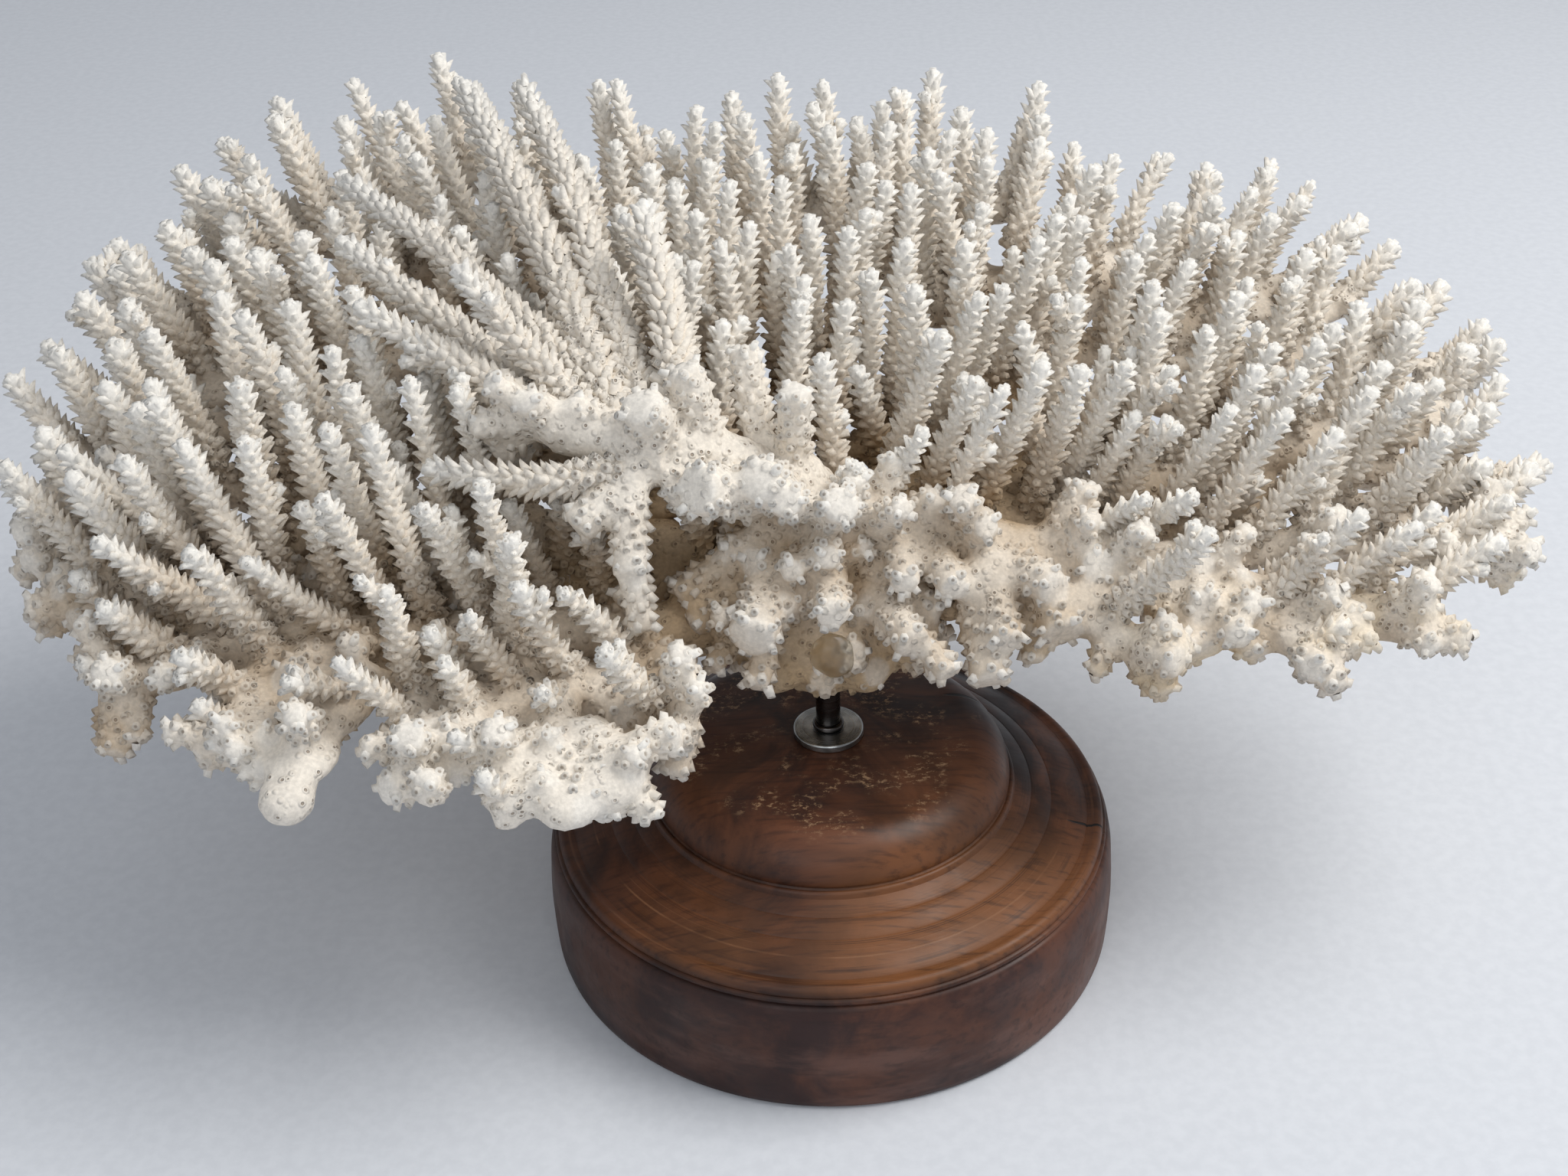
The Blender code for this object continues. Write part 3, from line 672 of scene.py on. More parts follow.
def add_core(shells, line, radii, tips):
    """The round core that a branch's cups stand on."""
    ahead, normal, binormal = line_frames(line)
    turns = 2 * math.pi * np.arange(CORE_SIDES) / CORE_SIDES
    ways = np.cos(turns)[None, :, None] * normal[:, None] + np.sin(turns)[None, :, None] * binormal[:, None]
    rings = line[:, None] + radii[:, None, None] * ways
    ends = np.array([line[0] - radii[0] * ahead[0], line[-1] + 0.6 * radii[-1] * ahead[-1]])
    points = np.concatenate([rings.reshape(-1, 3), ends])
    painted = np.concatenate([np.repeat(tips, CORE_SIDES), tips[[0, -1]]])
    shells.add(points[None], tube_faces(len(line), CORE_SIDES), painted, np.full(1, 0.25))


def add_cups(shells, foot, out, ahead, lean, fold, height, width, tips, open_rim):
    """Small cups on a surface, wide at the foot. Each leans by lean from ahead towards out, and its mouth is
    turned back by fold, so that a large fold makes a scale. An open rim is rounder and shows its hole."""
    side = np.cross(out, ahead)
    measures = (lean, fold, height, width)
    lean, fold, height, width = (np.broadcast_to(value, len(foot))[:, None] for value in measures)
    growth = np.sin(lean) * out + np.cos(lean) * ahead
    mouth = np.sin(lean - fold) * out + np.cos(lean - fold) * ahead
    lip = np.cos(lean - fold) * out - np.sin(lean - fold) * ahead
    below = np.cos(lean) * out - np.sin(lean) * ahead
    count = 6 if open_rim else 5
    turns = 2 * math.pi * (np.arange(count) + 0.25) / count
    across = np.cos(turns)[None, :, None]
    along = np.sin(turns)[None, :, None]
    centre = foot + growth * height
    base = foot - growth * SINK
    width_there = width[:, None]
    foot_ring = base[:, None] + FOOT_SPREAD * width_there * (across * side[:, None] + along * below[:, None])
    rim = centre[:, None] + width_there * (across * side[:, None] + along * lip[:, None])
    pit = centre - mouth * width * (0.9 if open_rim else 0.5)
    points = np.concatenate([foot_ring, rim, pit[:, None]], axis=1)
    faces = []
    for step in range(count):
        beside = (step + 1) % count
        faces += [(step, beside, count + beside), (step, count + beside, count + step)]
        faces.append((2 * count, count + step, count + beside))
    # Painted shade for the material: most at the pit's middle, a little at the foot, none at the rim
    pit_shades = [0.15] * count + [0.0] * count + [1.0 if open_rim else 0.7]
    tips = np.broadcast_to(tips, len(foot))[:, None]
    shells.add(points, np.array(faces), tips, np.array(pit_shades))


def lengths_along(line):
    """The length of a line up to each of its points."""
    return np.concatenate([[0.0], np.cumsum(np.linalg.norm(np.diff(line, axis=0), axis=1))])


def cup_places(line, radii, spacing, start, end):
    """How far along a line each cup of a spiral stands, closer where the branch is thick, and its lengths."""
    lengths = lengths_along(line)
    places = []
    place = start
    while place < lengths[-1] - end:
        places.append(place)
        radius = np.interp(place, lengths, radii)
        place += spacing ** 2 / (2 * math.pi * radius * 0.8)
    return np.array(places), lengths


def along_line(places, lengths, rows):
    return np.stack([np.interp(places, lengths, rows[:, axis]) for axis in range(3)], axis=1)


def spiral_frames(places, lengths, ahead, normal, turns):
    """The direction of a line at places along it, and the way out there at a turn from its normal."""
    direction = unit_rows(along_line(places, lengths, ahead))
    one = unit_rows(along_line(places, lengths, normal))
    return direction, around(turns, one, np.cross(direction, one))


def dress_branch(shells, line, radii, chance, start=2.0):
    """A branchlet: its core, scales in a spiral, open cups near its foot, and the tubes at its tip."""
    ahead, normal, binormal = line_frames(line)
    places, lengths = cup_places(line, radii, CUP_SPACING, start, 1.5)
    add_core(shells, line, CORE_SHARE * radii, lengths / lengths[-1])
    count = len(places)
    if count:
        turns = GOLDEN_ANGLE * np.arange(count) + chance.uniform(-0.22, 0.22, count)
        turns = turns + chance.uniform(0, FULL_TURN)
        direction, out = spiral_frames(places, lengths, ahead, normal, turns)
        radius = np.interp(places, lengths, radii)
        share = places / lengths[-1]
        size = (0.55 + 0.4 * radius / FULL_RADIUS) * chance.uniform(0.85, 1.15, count)
        foot = along_line(places, lengths, line) + out * (CORE_SHARE * radius)[:, None]
        height = CUP_HEIGHT * size * chance.uniform(0.75, 1.3, count)
        low = share < 0.3 + 0.15 * chance.random(count)
        at_front = line[0, 1] < LOW_CUPS_FRONT
        for chosen, (lean, fold), open_rim in ((low, LOW_CUPS, at_front), (~low, SCALES, False)):
            if chosen.any():
                leans = np.radians(lean + chance.uniform(-8, 8, chosen.sum()))
                add_cups(shells, foot[chosen], out[chosen], direction[chosen], leans, math.radians(fold),
                         height[chosen], CUP_WIDTH * size[chosen], share[chosen], open_rim)
    add_tip(shells, line[-1], ahead[-1], normal[-1], binormal[-1], radii[-1], chance)


def add_tip(shells, place, ahead, one, two, radius, chance):
    """The tube in the middle of a tip and the young ones around it."""
    turns = 2 * math.pi * np.arange(TIP_CUPS) / TIP_CUPS + chance.uniform(0, FULL_TURN)
    out = around(turns, one, two)
    directions = np.broadcast_to(ahead, out.shape)
    size = 0.5 + 0.5 * radius / FULL_RADIUS
    foot = place - 0.8 * ahead + out * 0.4 * radius
    leans = np.radians(chance.uniform(16, 34, TIP_CUPS))
    heights = size * chance.uniform(0.9, 2.2, TIP_CUPS)
    add_cups(shells, foot, out, directions, leans, math.radians(8), heights, 0.95 * size, 1.0, True)
    middle = (place + 0.2 * ahead)[None]
    add_cups(shells, middle, out[:1], directions[:1], 0.0, 0.0, 1.3 * size, 1.15 * size, 1.0, True)


def dress_stub(shells, rod, chance):
    """A thick broken stub: open cups all round it and on its end."""
    line, radii = smooth_line(rod.points, rod.radii, STEM_STEP)
    radii = radii * STUB_SHARE
    ahead, normal, binormal = line_frames(line)
    places, lengths = cup_places(line, radii, STUB_CUP_SPACING, 0.3 * np.linalg.norm(line[-1] - line[0]), 0.0)
    count = len(places)
    turns = GOLDEN_ANGLE * np.arange(count) + chance.uniform(-0.3, 0.3, count)
    direction, out = spiral_frames(places, lengths, ahead, normal, turns)
    foot = along_line(places, lengths, line) + out * (np.interp(places, lengths, radii) - 0.5)[:, None]
    leans = np.radians(chance.uniform(36, 66, count))
    heights = chance.uniform(0.7, 1.9, count)
    share = 0.35 + 0.6 * (places / lengths[-1]) ** 2
    widths = chance.uniform(0.85, 1.2, count)
    add_cups(shells, foot, out, direction, leans, math.radians(16), heights, widths, share, True)
    count = int(radii[-1] ** 2 / 5.0)
    spots = np.sqrt((np.arange(count) + 0.5) / count) * radii[-1] * 0.9
    out = around(GOLDEN_ANGLE * np.arange(count), normal[-1], binormal[-1])
    foot = line[-1] - 0.6 * ahead[-1] + spots[:, None] * out
    directions = np.broadcast_to(ahead[-1], out.shape)
    leans = np.radians(64) * (spots / radii[-1]) ** 2
    heights = chance.uniform(0.2, 0.8, count) + 0.9 * (spots / radii[-1]) ** 3
    widths = chance.uniform(1.0, 1.5, count)
    add_cups(shells, foot, out, directions, leans, 0.0, heights, widths, 0.8, True)


def rod_samples(rods, kinds):
    """Points every few millimetres along the rods of some kinds, with the radius and the limb of each."""
    places = []
    radii = []
    limbs = []
    for limb, entries in rods.items():
        for rod in entries:
            if rod.kind in kinds:
                line, line_radii = smooth_line(rod.points, rod.radii, SAMPLE_STEP)
                places.append(line)
                radii.append(line_radii)
                limbs += [limb] * len(line)
    return np.concatenate(places), np.concatenate(radii), limbs


def add_more_branchlets(rods):
    """Branchlets between those of the solids, wherever the crown has room, with side stems to carry them."""
    rng = random.Random(SEED + 1)
    stems, stem_radii, stem_limbs = rod_samples(rods, ("stem",))
    taken = rod_samples(rods, ("branchlet", "spike", "stub"))[0]
    columns = int(MORE_WIDTH / MORE_PITCH)
    for row in range(-int(MORE_FRONT / MORE_PITCH), int(MORE_BACK / MORE_PITCH)):
        for column in range(-columns // 2, columns // 2 + 1):
            x = (column + 0.5 * (row % 2) + rng.uniform(-0.3, 0.3)) * MORE_PITCH
            y = (row + rng.uniform(-0.3, 0.3)) * MORE_PITCH
            if edge_distance(x, y) < 1.0:
                continue
            direction = branchlet_direction(x, y, rng)
            direction = unit(direction + SCATTER * np.array([rng.gauss(0, 1) for axis in range(3)]))
            top = crown_height(x, y) - rng.uniform(2, 34) - 28.0 * (1 - direction[2])
            length = min((top - plate_height(x, y)) / direction[2] + 3.0, MOST_LENGTH)
            if length < LEAST_LENGTH:
                continue
            tip = np.array((x, y, top))
            foot = tip - length * direction
            samples = foot + np.linspace(0.3, 1.0, 8)[:, None] * (tip - foot)
            gaps = np.linalg.norm(samples[:, None] - taken[None], axis=2).min(axis=1)
            if gaps.min() < MORE_CLEARANCE:
                continue
            distances = np.linalg.norm(stems - foot, axis=1)
            nearest = int(np.argmin(distances))
            if distances[nearest] > MORE_REACH:
                continue
            limb = stem_limbs[nearest]
            if distances[nearest] > stem_radii[nearest]:
                end = foot + 1.5 * unit(foot - stems[nearest])
                rods[limb].append(Rod([stems[nearest], end], SIDE_STEM_RADII, "stem"))
            rods[limb].append(Rod([foot, tip], BRANCHLET_RADII, "branchlet"))
            taken = np.concatenate([taken, foot + np.linspace(0, 1, 12)[:, None] * (tip - foot)])


def add_knobs(rods):
    """Short broken knobs on the front of some limbs' stems, and a few more around each stem's end."""
    rng = random.Random(SEED + 2)
    for limb, tries in KNOBS.items():
        entries = rods[limb]
        ends = [rod.points[-1] for rod in entries if rod.kind == "stub"] or [np.full(3, FAR_AWAY)]
        upright = np.concatenate([smooth_line(rod.points, rod.radii, STEM_STEP)[0] for rod in entries
                                  if rod.kind in ("branchlet", "spike")] or [np.full((1, 3), FAR_AWAY)])
        for rod in [entry for entry in entries if entry.kind in ("stem", "bare")]:
            line, radii = smooth_line(rod.points, rod.radii, KNOB_STEP)
            ahead, one, two = line_frames(line)
            for step in range(1, len(line)):
                last = step == len(line) - 1
                for attempt in range(tries * (END_TRIES if last else 1)):
                    turn = rng.uniform(0, 2 * math.pi)
                    out = math.cos(turn) * one[step] + math.sin(turn) * two[step]
                    growth = unit(out + rng.uniform(0.2, 1.6) * ahead[step] * (1.0 if last else 0.4))
                    length = rng.uniform(*(STALK_KNOB_LENGTHS if limb == "stalk" else KNOB_LENGTHS))
                    end = line[step] + (radii[step] + length) * growth
                    lowest = KNOB_LOWEST + 0.1 * max(end[0], 0.0)
                    if out @ KNOB_FRONT < (-0.3 if last else 0.05) or end[2] < lowest:
                        continue
                    if limb == "stalk" and end[2] > STALK_KNOBS_TOP:
                        continue
                    gap = min(np.linalg.norm(end - other) for other in ends)
                    if gap < (END_KNOB_GAP if last else KNOB_GAP) or edge_distance(*end[:2]) < -12.0:
                        continue
                    if np.linalg.norm(upright - end, axis=1).min() < KNOB_GAP:
                        continue
                    ends.append(end)
                    radius = rng.uniform(*KNOB_RADII)
                    foot = line[step] + 0.5 * radii[step] * growth
                    entries.append(Rod([foot, end], (1.35 * radius, 0.9 * radius), "stub"))


def evaluated(item):
    """The mesh of an object with its modifiers applied; the object is removed."""
    graph = bpy.context.evaluated_depsgraph_get()
    mesh = bpy.data.meshes.new_from_object(item.evaluated_get(graph))
    bpy.data.objects.remove(item)
    return mesh


def linked(name, data):
    item = bpy.data.objects.new(name, data)
    bpy.context.scene.collection.objects.link(item)
    return item


def body_tubes(lines):
    """Closed round tubes along the lines of a limb's body, as one mesh."""
    curve = bpy.data.curves.new("body_lines", "CURVE")
    curve.dimensions = "3D"
    curve.bevel_depth = MM
    curve.bevel_resolution = 3
    curve.use_fill_caps = True
    for line, radii in lines:
        spline = curve.splines.new("POLY")
        spline.points.add(len(line) - 1)
        for target, point, radius in zip(spline.points, line, radii):
            target.co = (*(point * MM), 1.0)
            target.radius = radius
    return evaluated(linked("body_lines", curve))


def lumps_texture():
    texture = bpy.data.textures.new("lumps", "CLOUDS")
    texture.noise_scale = LUMP_SCALE * MM
    texture.noise_depth = 2
    return texture


def add_lumps(item, texture, strength):
    """Displaces an object's surface by a texture, by up to half a strength each way."""
    lumps = item.modifiers.new("lumps", "DISPLACE")
    lumps.texture = texture
    lumps.texture_coords = "GLOBAL"
    lumps.strength = strength * MM


def add_plates(mesh, plates):
    """Adds the worn plates of a limb to the mesh of its tubes."""
    body = bmesh.new()
    body.from_mesh(mesh)
    for centre, sizes, turn in plates:
        shape = Matrix.Rotation(math.radians(turn), 4, "Z") @ Matrix.Diagonal((*(Vector(sizes) * MM), 1.0))
        shape = Matrix.Translation(Vector(centre) * MM) @ shape
        bmesh.ops.create_icosphere(body, subdivisions=3, radius=1.0, matrix=shape)
    body.to_mesh(mesh)
    body.free()


def body_mesh(entries, lines_of, plates, texture):
    """The fused body of a limb: stems, bare blades, stubs and the flared feet of its branchlets."""
    lines = []
    for rod in entries:
        if rod.kind in ("stem", "bare", "stub"):
            line, radii = smooth_line(rod.points, rod.radii, STEM_STEP)
            share = {"stem": STEM_SHARE, "bare": BLADE_SHARE, "stub": STUB_SHARE}[rod.kind]
            if rod.kind == "stem" and radii.max() > TRUNK_RADIUS:
                share = TRUNK_SHARE
            lines.append((line, radii * share))
        else:
            line, radii = lines_of[id(rod)]
            lengths = lengths_along(line)
            places = np.linspace(0, min(FOOT_LENGTH, lengths[-1]), len(FOOT_FLARE))
            lines.append((along_line(places, lengths, line), FOOT_FLARE * radii[0]))
    mesh = body_tubes(lines)
    add_plates(mesh, plates)
    item = linked("body", mesh)
    remesh = item.modifiers.new("fuse", "REMESH")
    remesh.mode = "VOXEL"
    remesh.voxel_size = BODY_VOXEL * MM
    smooth = item.modifiers.new("soften", "SMOOTH")
    smooth.factor = 0.5
    smooth.iterations = 4
    add_lumps(item, texture, BODY_LUMPS)
    return evaluated(item)


def stub_whiteness(stubs):
    """A function of points: STUB_WHITE on the broken ends of the stubs, BODY_WHITE away from them."""
    def whiteness(points):
        values = np.full(len(points), BODY_WHITE)
        for rod in stubs:
            gap = np.linalg.norm(points - rod.points[-1], axis=1) - 0.8 * rod.radii[-1]
            values = np.maximum(values, np.clip(STUB_WHITE - gap / WHITE_REACH, 0.0, STUB_WHITE))
        return values
    return whiteness


def side_twigs(branches, chance):
    """Short side branches on some of the branchlets."""
    twigs = []
    for line, radii in branches:
        length = np.linalg.norm(line[-1] - line[0])
        if length < TWIG_BEARER or chance.random() < BARE_OF_TWIGS:
            continue
        ahead, normal, binormal = line_frames(line)
        place = int(len(line) * chance.uniform(0.4, 0.8))
        turn = chance.uniform(0, 2 * math.pi)
        out = math.cos(turn) * normal[place] + math.sin(turn) * binormal[place]
        lean = math.radians(chance.uniform(24, 42))
        direction = math.sin(lean) * out + math.cos(lean) * ahead[place]
        reach = chance.uniform(7, 12)
        steps = np.linspace(0, 1, 4)[:, None]
        twig = line[place] + steps * reach * direction + 0.12 * reach * steps ** 2 * ahead[place]
        twigs.append((twig, np.linspace(*TWIG_RADII, 4)))
    return twigs


def dressed_limb(name, entries, plates, chance, texture):
    """One piece for a limb: its fused body, with every branchlet, twig and stub dressed."""
    shells = Shells()
    lines_of = {}
    for rod in entries:
        if rod.kind in ("branchlet", "spike"):
            lines_of[id(rod)] = bowed_line(rod, chance)
    branches = list(lines_of.values())
    stubs = [rod for rod in entries if rod.kind == "stub"]
    shells.add_mesh(body_mesh(entries, lines_of, plates, texture), stub_whiteness(stubs))
    for line, radii in branches:
        dress_branch(shells, line, radii, chance)
    for line, radii in side_twigs(branches, chance):
        dress_branch(shells, line, radii, chance, start=3.0)
    for rod in stubs:
        dress_stub(shells, rod, chance)
    return linked(name, shells.mesh(name))


class Nodes:
    """Short ways to add and join the nodes of one material."""

    def __init__(self, name):
        self.material = bpy.data.materials.new(name)
        self.material.use_nodes = True
        self.tree = self.material.node_tree
        self.shader = self.tree.nodes["Principled BSDF"]

    def add(self, kind, **settings):
        node = self.tree.nodes.new(kind)
        for setting, value in settings.items():
            setattr(node, setting, value)
        return node

    def link(self, source, target):
        self.tree.links.new(source, target)

    def value(self, target, value):
        """Sets a socket: a link where the value comes from a node, else the number or colour itself."""
        if isinstance(value, bpy.types.NodeSocket):
            self.link(value, target)
        else:
            target.default_value = value

    def shade(self, **values):
        """Sets the shader's sockets by their names, with _ for a space."""
        for name, value in values.items():
            self.value(self.shader.inputs[name.replace("_", " ")], value)

    def fill(self, node, values):
        """Sets sockets of a node by their names or numbers and returns the node."""
        for name, value in values.items():
            self.value(node.inputs[name], value)
        return node

    def math(self, operation, a, b=0.0, clamp=False):
        node = self.add("ShaderNodeMath", operation=operation, use_clamp=clamp)
        return self.fill(node, {0: a, 1: b}).outputs[0]

    def times(self, product, *factors):
        for factor in factors:
            product = self.math("MULTIPLY", product, factor)
        return product

    def ramp(self, source, low, high, to_low=0.0, to_high=1.0):
        node = self.add("ShaderNodeMapRange", interpolation_type="SMOOTHSTEP")
        names = ("Value", "From Min", "From Max", "To Min", "To Max")
        return self.fill(node, dict(zip(names, (source, low, high, to_low, to_high)))).outputs[0]

    def mix(self, share, one, two, blend="MIX"):
        """Lays the second colour over the first by a share."""
        node = self.add("ShaderNodeMix", data_type="RGBA", blend_type=blend)
        one, two = (item if isinstance(item, bpy.types.NodeSocket) else (*item, 1.0) for item in (one, two))
        return self.fill(node, {0: share, 6: one, 7: two}).outputs[2]

    def attribute(self, name):
        return self.add("ShaderNodeAttribute", attribute_name=name).outputs["Fac"]

    def place(self):
        return self.add("ShaderNodeTexCoord").outputs["Object"]

    def parts(self, place):
        """The X, Y and Z of a place."""
        return self.fill(self.add("ShaderNodeSeparateXYZ"), {0: place}).outputs

    def radius(self, x, y):
        return self.math("SQRT", self.math("ADD", self.times(x, x), self.times(y, y)))

    def stretched(self, place, scale):
        return self.fill(self.add("ShaderNodeMapping"), {"Vector": place, "Scale": scale}).outputs["Vector"]

    def noise(self, place, scale, detail=4.0, roughness=0.55, distortion=0.0):
        values = {"Vector": place, "Scale": scale, "Detail": detail, "Roughness": roughness}
        return self.fill(self.add("ShaderNodeTexNoise"), {**values, "Distortion": distortion}).outputs["Fac"]

    def turned_lines(self, radius, z, scale, **settings):
        """Noise that is the same all the way round Z, as turning leaves it."""
        rings = self.fill(self.add("ShaderNodeCombineXYZ"), {0: radius, 1: z})
        return self.noise(rings.outputs[0], scale, **settings)

    def spots(self, place, scale):
        node = self.add("ShaderNodeTexVoronoi")
        return self.fill(node, {"Vector": place, "Scale": scale}).outputs["Distance"]

    def grey(self, value):
        return self.fill(self.add("ShaderNodeCombineColor"), {0: value, 1: value, 2: value}).outputs["Color"]

    def streak(self, x, y, centre, half_sizes):
        """1 inside a thin ellipse of the plan, 0 outside it."""
        squares = []
        for value, middle, half in zip((x, y), centre, half_sizes):
            offset = self.math("DIVIDE", self.math("SUBTRACT", value, middle), half)
            squares.append(self.times(offset, offset))
        return self.ramp(self.math("ADD", *squares), 1.3, 0.6)

    def bump(self, height, strength, distance, before=None):
        node = self.add("ShaderNodeBump")
        self.fill(node, {"Height": height, "Strength": strength, "Distance": distance * MM})
        if before:
            self.link(before, node.inputs["Normal"])
        return node.outputs["Normal"]


# Colours of the coral; the tan of the depths is partly painted shade, and the pore colour is painted shade
WHITE = (0.86, 0.842, 0.80)
CREAM = (0.81, 0.745, 0.655)
DEPTH_TAN_AND_SHADE = (0.43, 0.305, 0.18)
AMBER = (0.78, 0.60, 0.34)
PORE_SHADE = (0.20, 0.135, 0.085)


def coral_material():
    """Chalky coral: white tips, cream sides, tan depths with painted shade, painted shade in the pits and
    pore holes, and yellow stains low at the right.
    """
    nodes = Nodes("coral")
    place = nodes.place()
    tip = nodes.attribute("tip")
    blotch = nodes.noise(place, 38.0, detail=3.0)
    fine = nodes.noise(place, 900.0, detail=3.0)
    # Painted shade and tan tone, more of both deeper in the crown and in the hollow behind the stalk, made
    # uneven by blotches
    shade = nodes.math("ADD", nodes.attribute("deep"), nodes.ramp(blotch, 0.35, 0.7, -0.12, 0.12))
    colour = nodes.mix(nodes.ramp(shade, 0.22, 0.95), CREAM, DEPTH_TAN_AND_SHADE)
    colour = nodes.mix(nodes.ramp(tip, 0.55, 1.2), colour, WHITE)
    # Painted shade in the cups' pits, darkest at their middle
    colour = nodes.mix(nodes.ramp(nodes.attribute("pit"), 0.35, 0.75, 0.0, 0.6), colour, PORE_SHADE)
    x, y, z = nodes.parts(place)
    low_right = nodes.times(nodes.ramp(z, 0.122, 0.100), nodes.ramp(x, 0.02, 0.14))
    patches = nodes.ramp(nodes.noise(place, 55.0, detail=2.0), 0.42, 0.62)
    stained = nodes.times(low_right, patches, nodes.ramp(y, 0.03, 0.0))
    colour = nodes.mix(nodes.times(stained, 0.45), colour, AMBER)
    grain = nodes.ramp(fine, 0.3, 0.75, 0.86, 1.06)
    colour = nodes.mix(1.0, colour, nodes.grey(grain), blend="MULTIPLY")
    # Painted shade in the small pore holes of the smooth parts, which the bump only dents
    from_hole = nodes.spots(place, 400.0)
    smooth_parts = nodes.ramp(tip, 0.16, 0.5, 1.0, 0.0)
    holes = nodes.times(nodes.ramp(from_hole, 0.12, 0.21, 1.0, 0.0), smooth_parts)
    mounds = nodes.times(nodes.ramp(from_hole, 0.25, 0.5, 1.0, 0.0), smooth_parts)
    relief = nodes.bump(fine, 0.35, 0.35)
    relief = nodes.bump(mounds, 0.6, 0.8, before=relief)
    relief = nodes.bump(nodes.math("SUBTRACT", 1.0, holes), 0.8, 0.8, before=relief)
    nodes.shade(Base_Color=nodes.mix(nodes.times(holes, 0.7), colour, PORE_SHADE), Roughness=0.82, Normal=relief)
    return nodes.material


def dress_coral(skeleton):
    texture = lumps_texture()
    material = coral_material()
    for number, (limb, entries) in enumerate(skeleton.items()):
        chance = np.random.default_rng(100 + number)
        piece = dressed_limb("coral_" + limb, entries, PLATES.get(limb, ()), chance, texture)
        piece.data.materials.append(material)
        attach(piece, "root")
        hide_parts(limb)


def arc(centre_x, centre_z, radius, start, end, count):
    """Points of an arc in a profile's plane, its angles in degrees up from +X."""
    angles = np.radians(np.linspace(start, end, count))
    return [(centre_x + radius * math.cos(a), centre_z + radius * math.sin(a)) for a in angles]


def turned_piece(name, profile, steps, closed=False):
    """A mesh turned about Z from a profile that runs down its outer side."""
    angles = 2 * math.pi * np.arange(steps) / steps
    mesh = bmesh.new()
    rings = []
    for x, z in profile:
        if x == 0:
            rings.append([mesh.verts.new((0, 0, z * MM))] * steps)
        else:
            rings.append([mesh.verts.new((x * MM * math.cos(a), x * MM * math.sin(a), z * MM))
                          for a in angles])
    pairs = list(zip(rings, rings[1:])) + ([(rings[-1], rings[0])] if closed else [])
    for upper, lower in pairs:
        for step in range(steps):
            beside = (step + 1) % steps
            corners = dict.fromkeys((upper[step], lower[step], lower[beside], upper[beside]))
            mesh.faces.new(corners)
    data = bpy.data.meshes.new(name)
    mesh.to_mesh(data)
    mesh.free()
    data.shade_smooth()
    data.set_sharp_from_angle(angle=math.radians(38))
    return linked(name, data)


def base_profile():
    """Half the section of the turned base, from the bore over the cushion and the beaded rim to the foot."""
    bore = ROD_RADIUS + FIT_GAP
    foot_x, foot_z = DOME_FOOT
    edge = DOME_EDGE
    profile = [(0, DOME_TOP - BORE_DEPTH), (bore, DOME_TOP - BORE_DEPTH), (bore, DOME_TOP)]
    profile += [(WASHER_RADIUS + 2, DOME_TOP)]
    profile += arc(foot_x - edge, DOME_TOP - edge - 0.8, edge, 90, 4, 16)
    profile += [(foot_x - 0.1, foot_z + 2.2), (foot_x - 0.5, foot_z + 1.5)]
    profile += arc(foot_x + 0.4, foot_z + 0.3, 0.9, 120, 10, 5)
    profile += [(foot_x + 1.6, foot_z - 0.6), (56.4, 46.9), (56.8, 46.45), (57.3, 46.5), (62.0, 44.5)]
    profile += [(62.5, 44.0), (63.0, 44.05), (68.6, 41.6), (72.2, 40.3), (72.7, 39.75), (73.2, 39.8)]
    profile += arc(75.2, 38.2, 1.9, 125, 20, 9)
    profile += [(77.2, 37.6), (77.1, 37.2)]
    profile += arc(77.3, 36.3, 0.85, 75, -60, 7)
    profile += [(77.6, 35.2), (78.4, 34.9), (79.0, 34.2), (79.8, 30.0), (80.4, 22.0), (80.6, 16.0)]
    profile += [(80.4, 8.0), (80.1, 2.6), (79.7, 1.0), (78.6, 0.0), (0, 0)]
    return profile


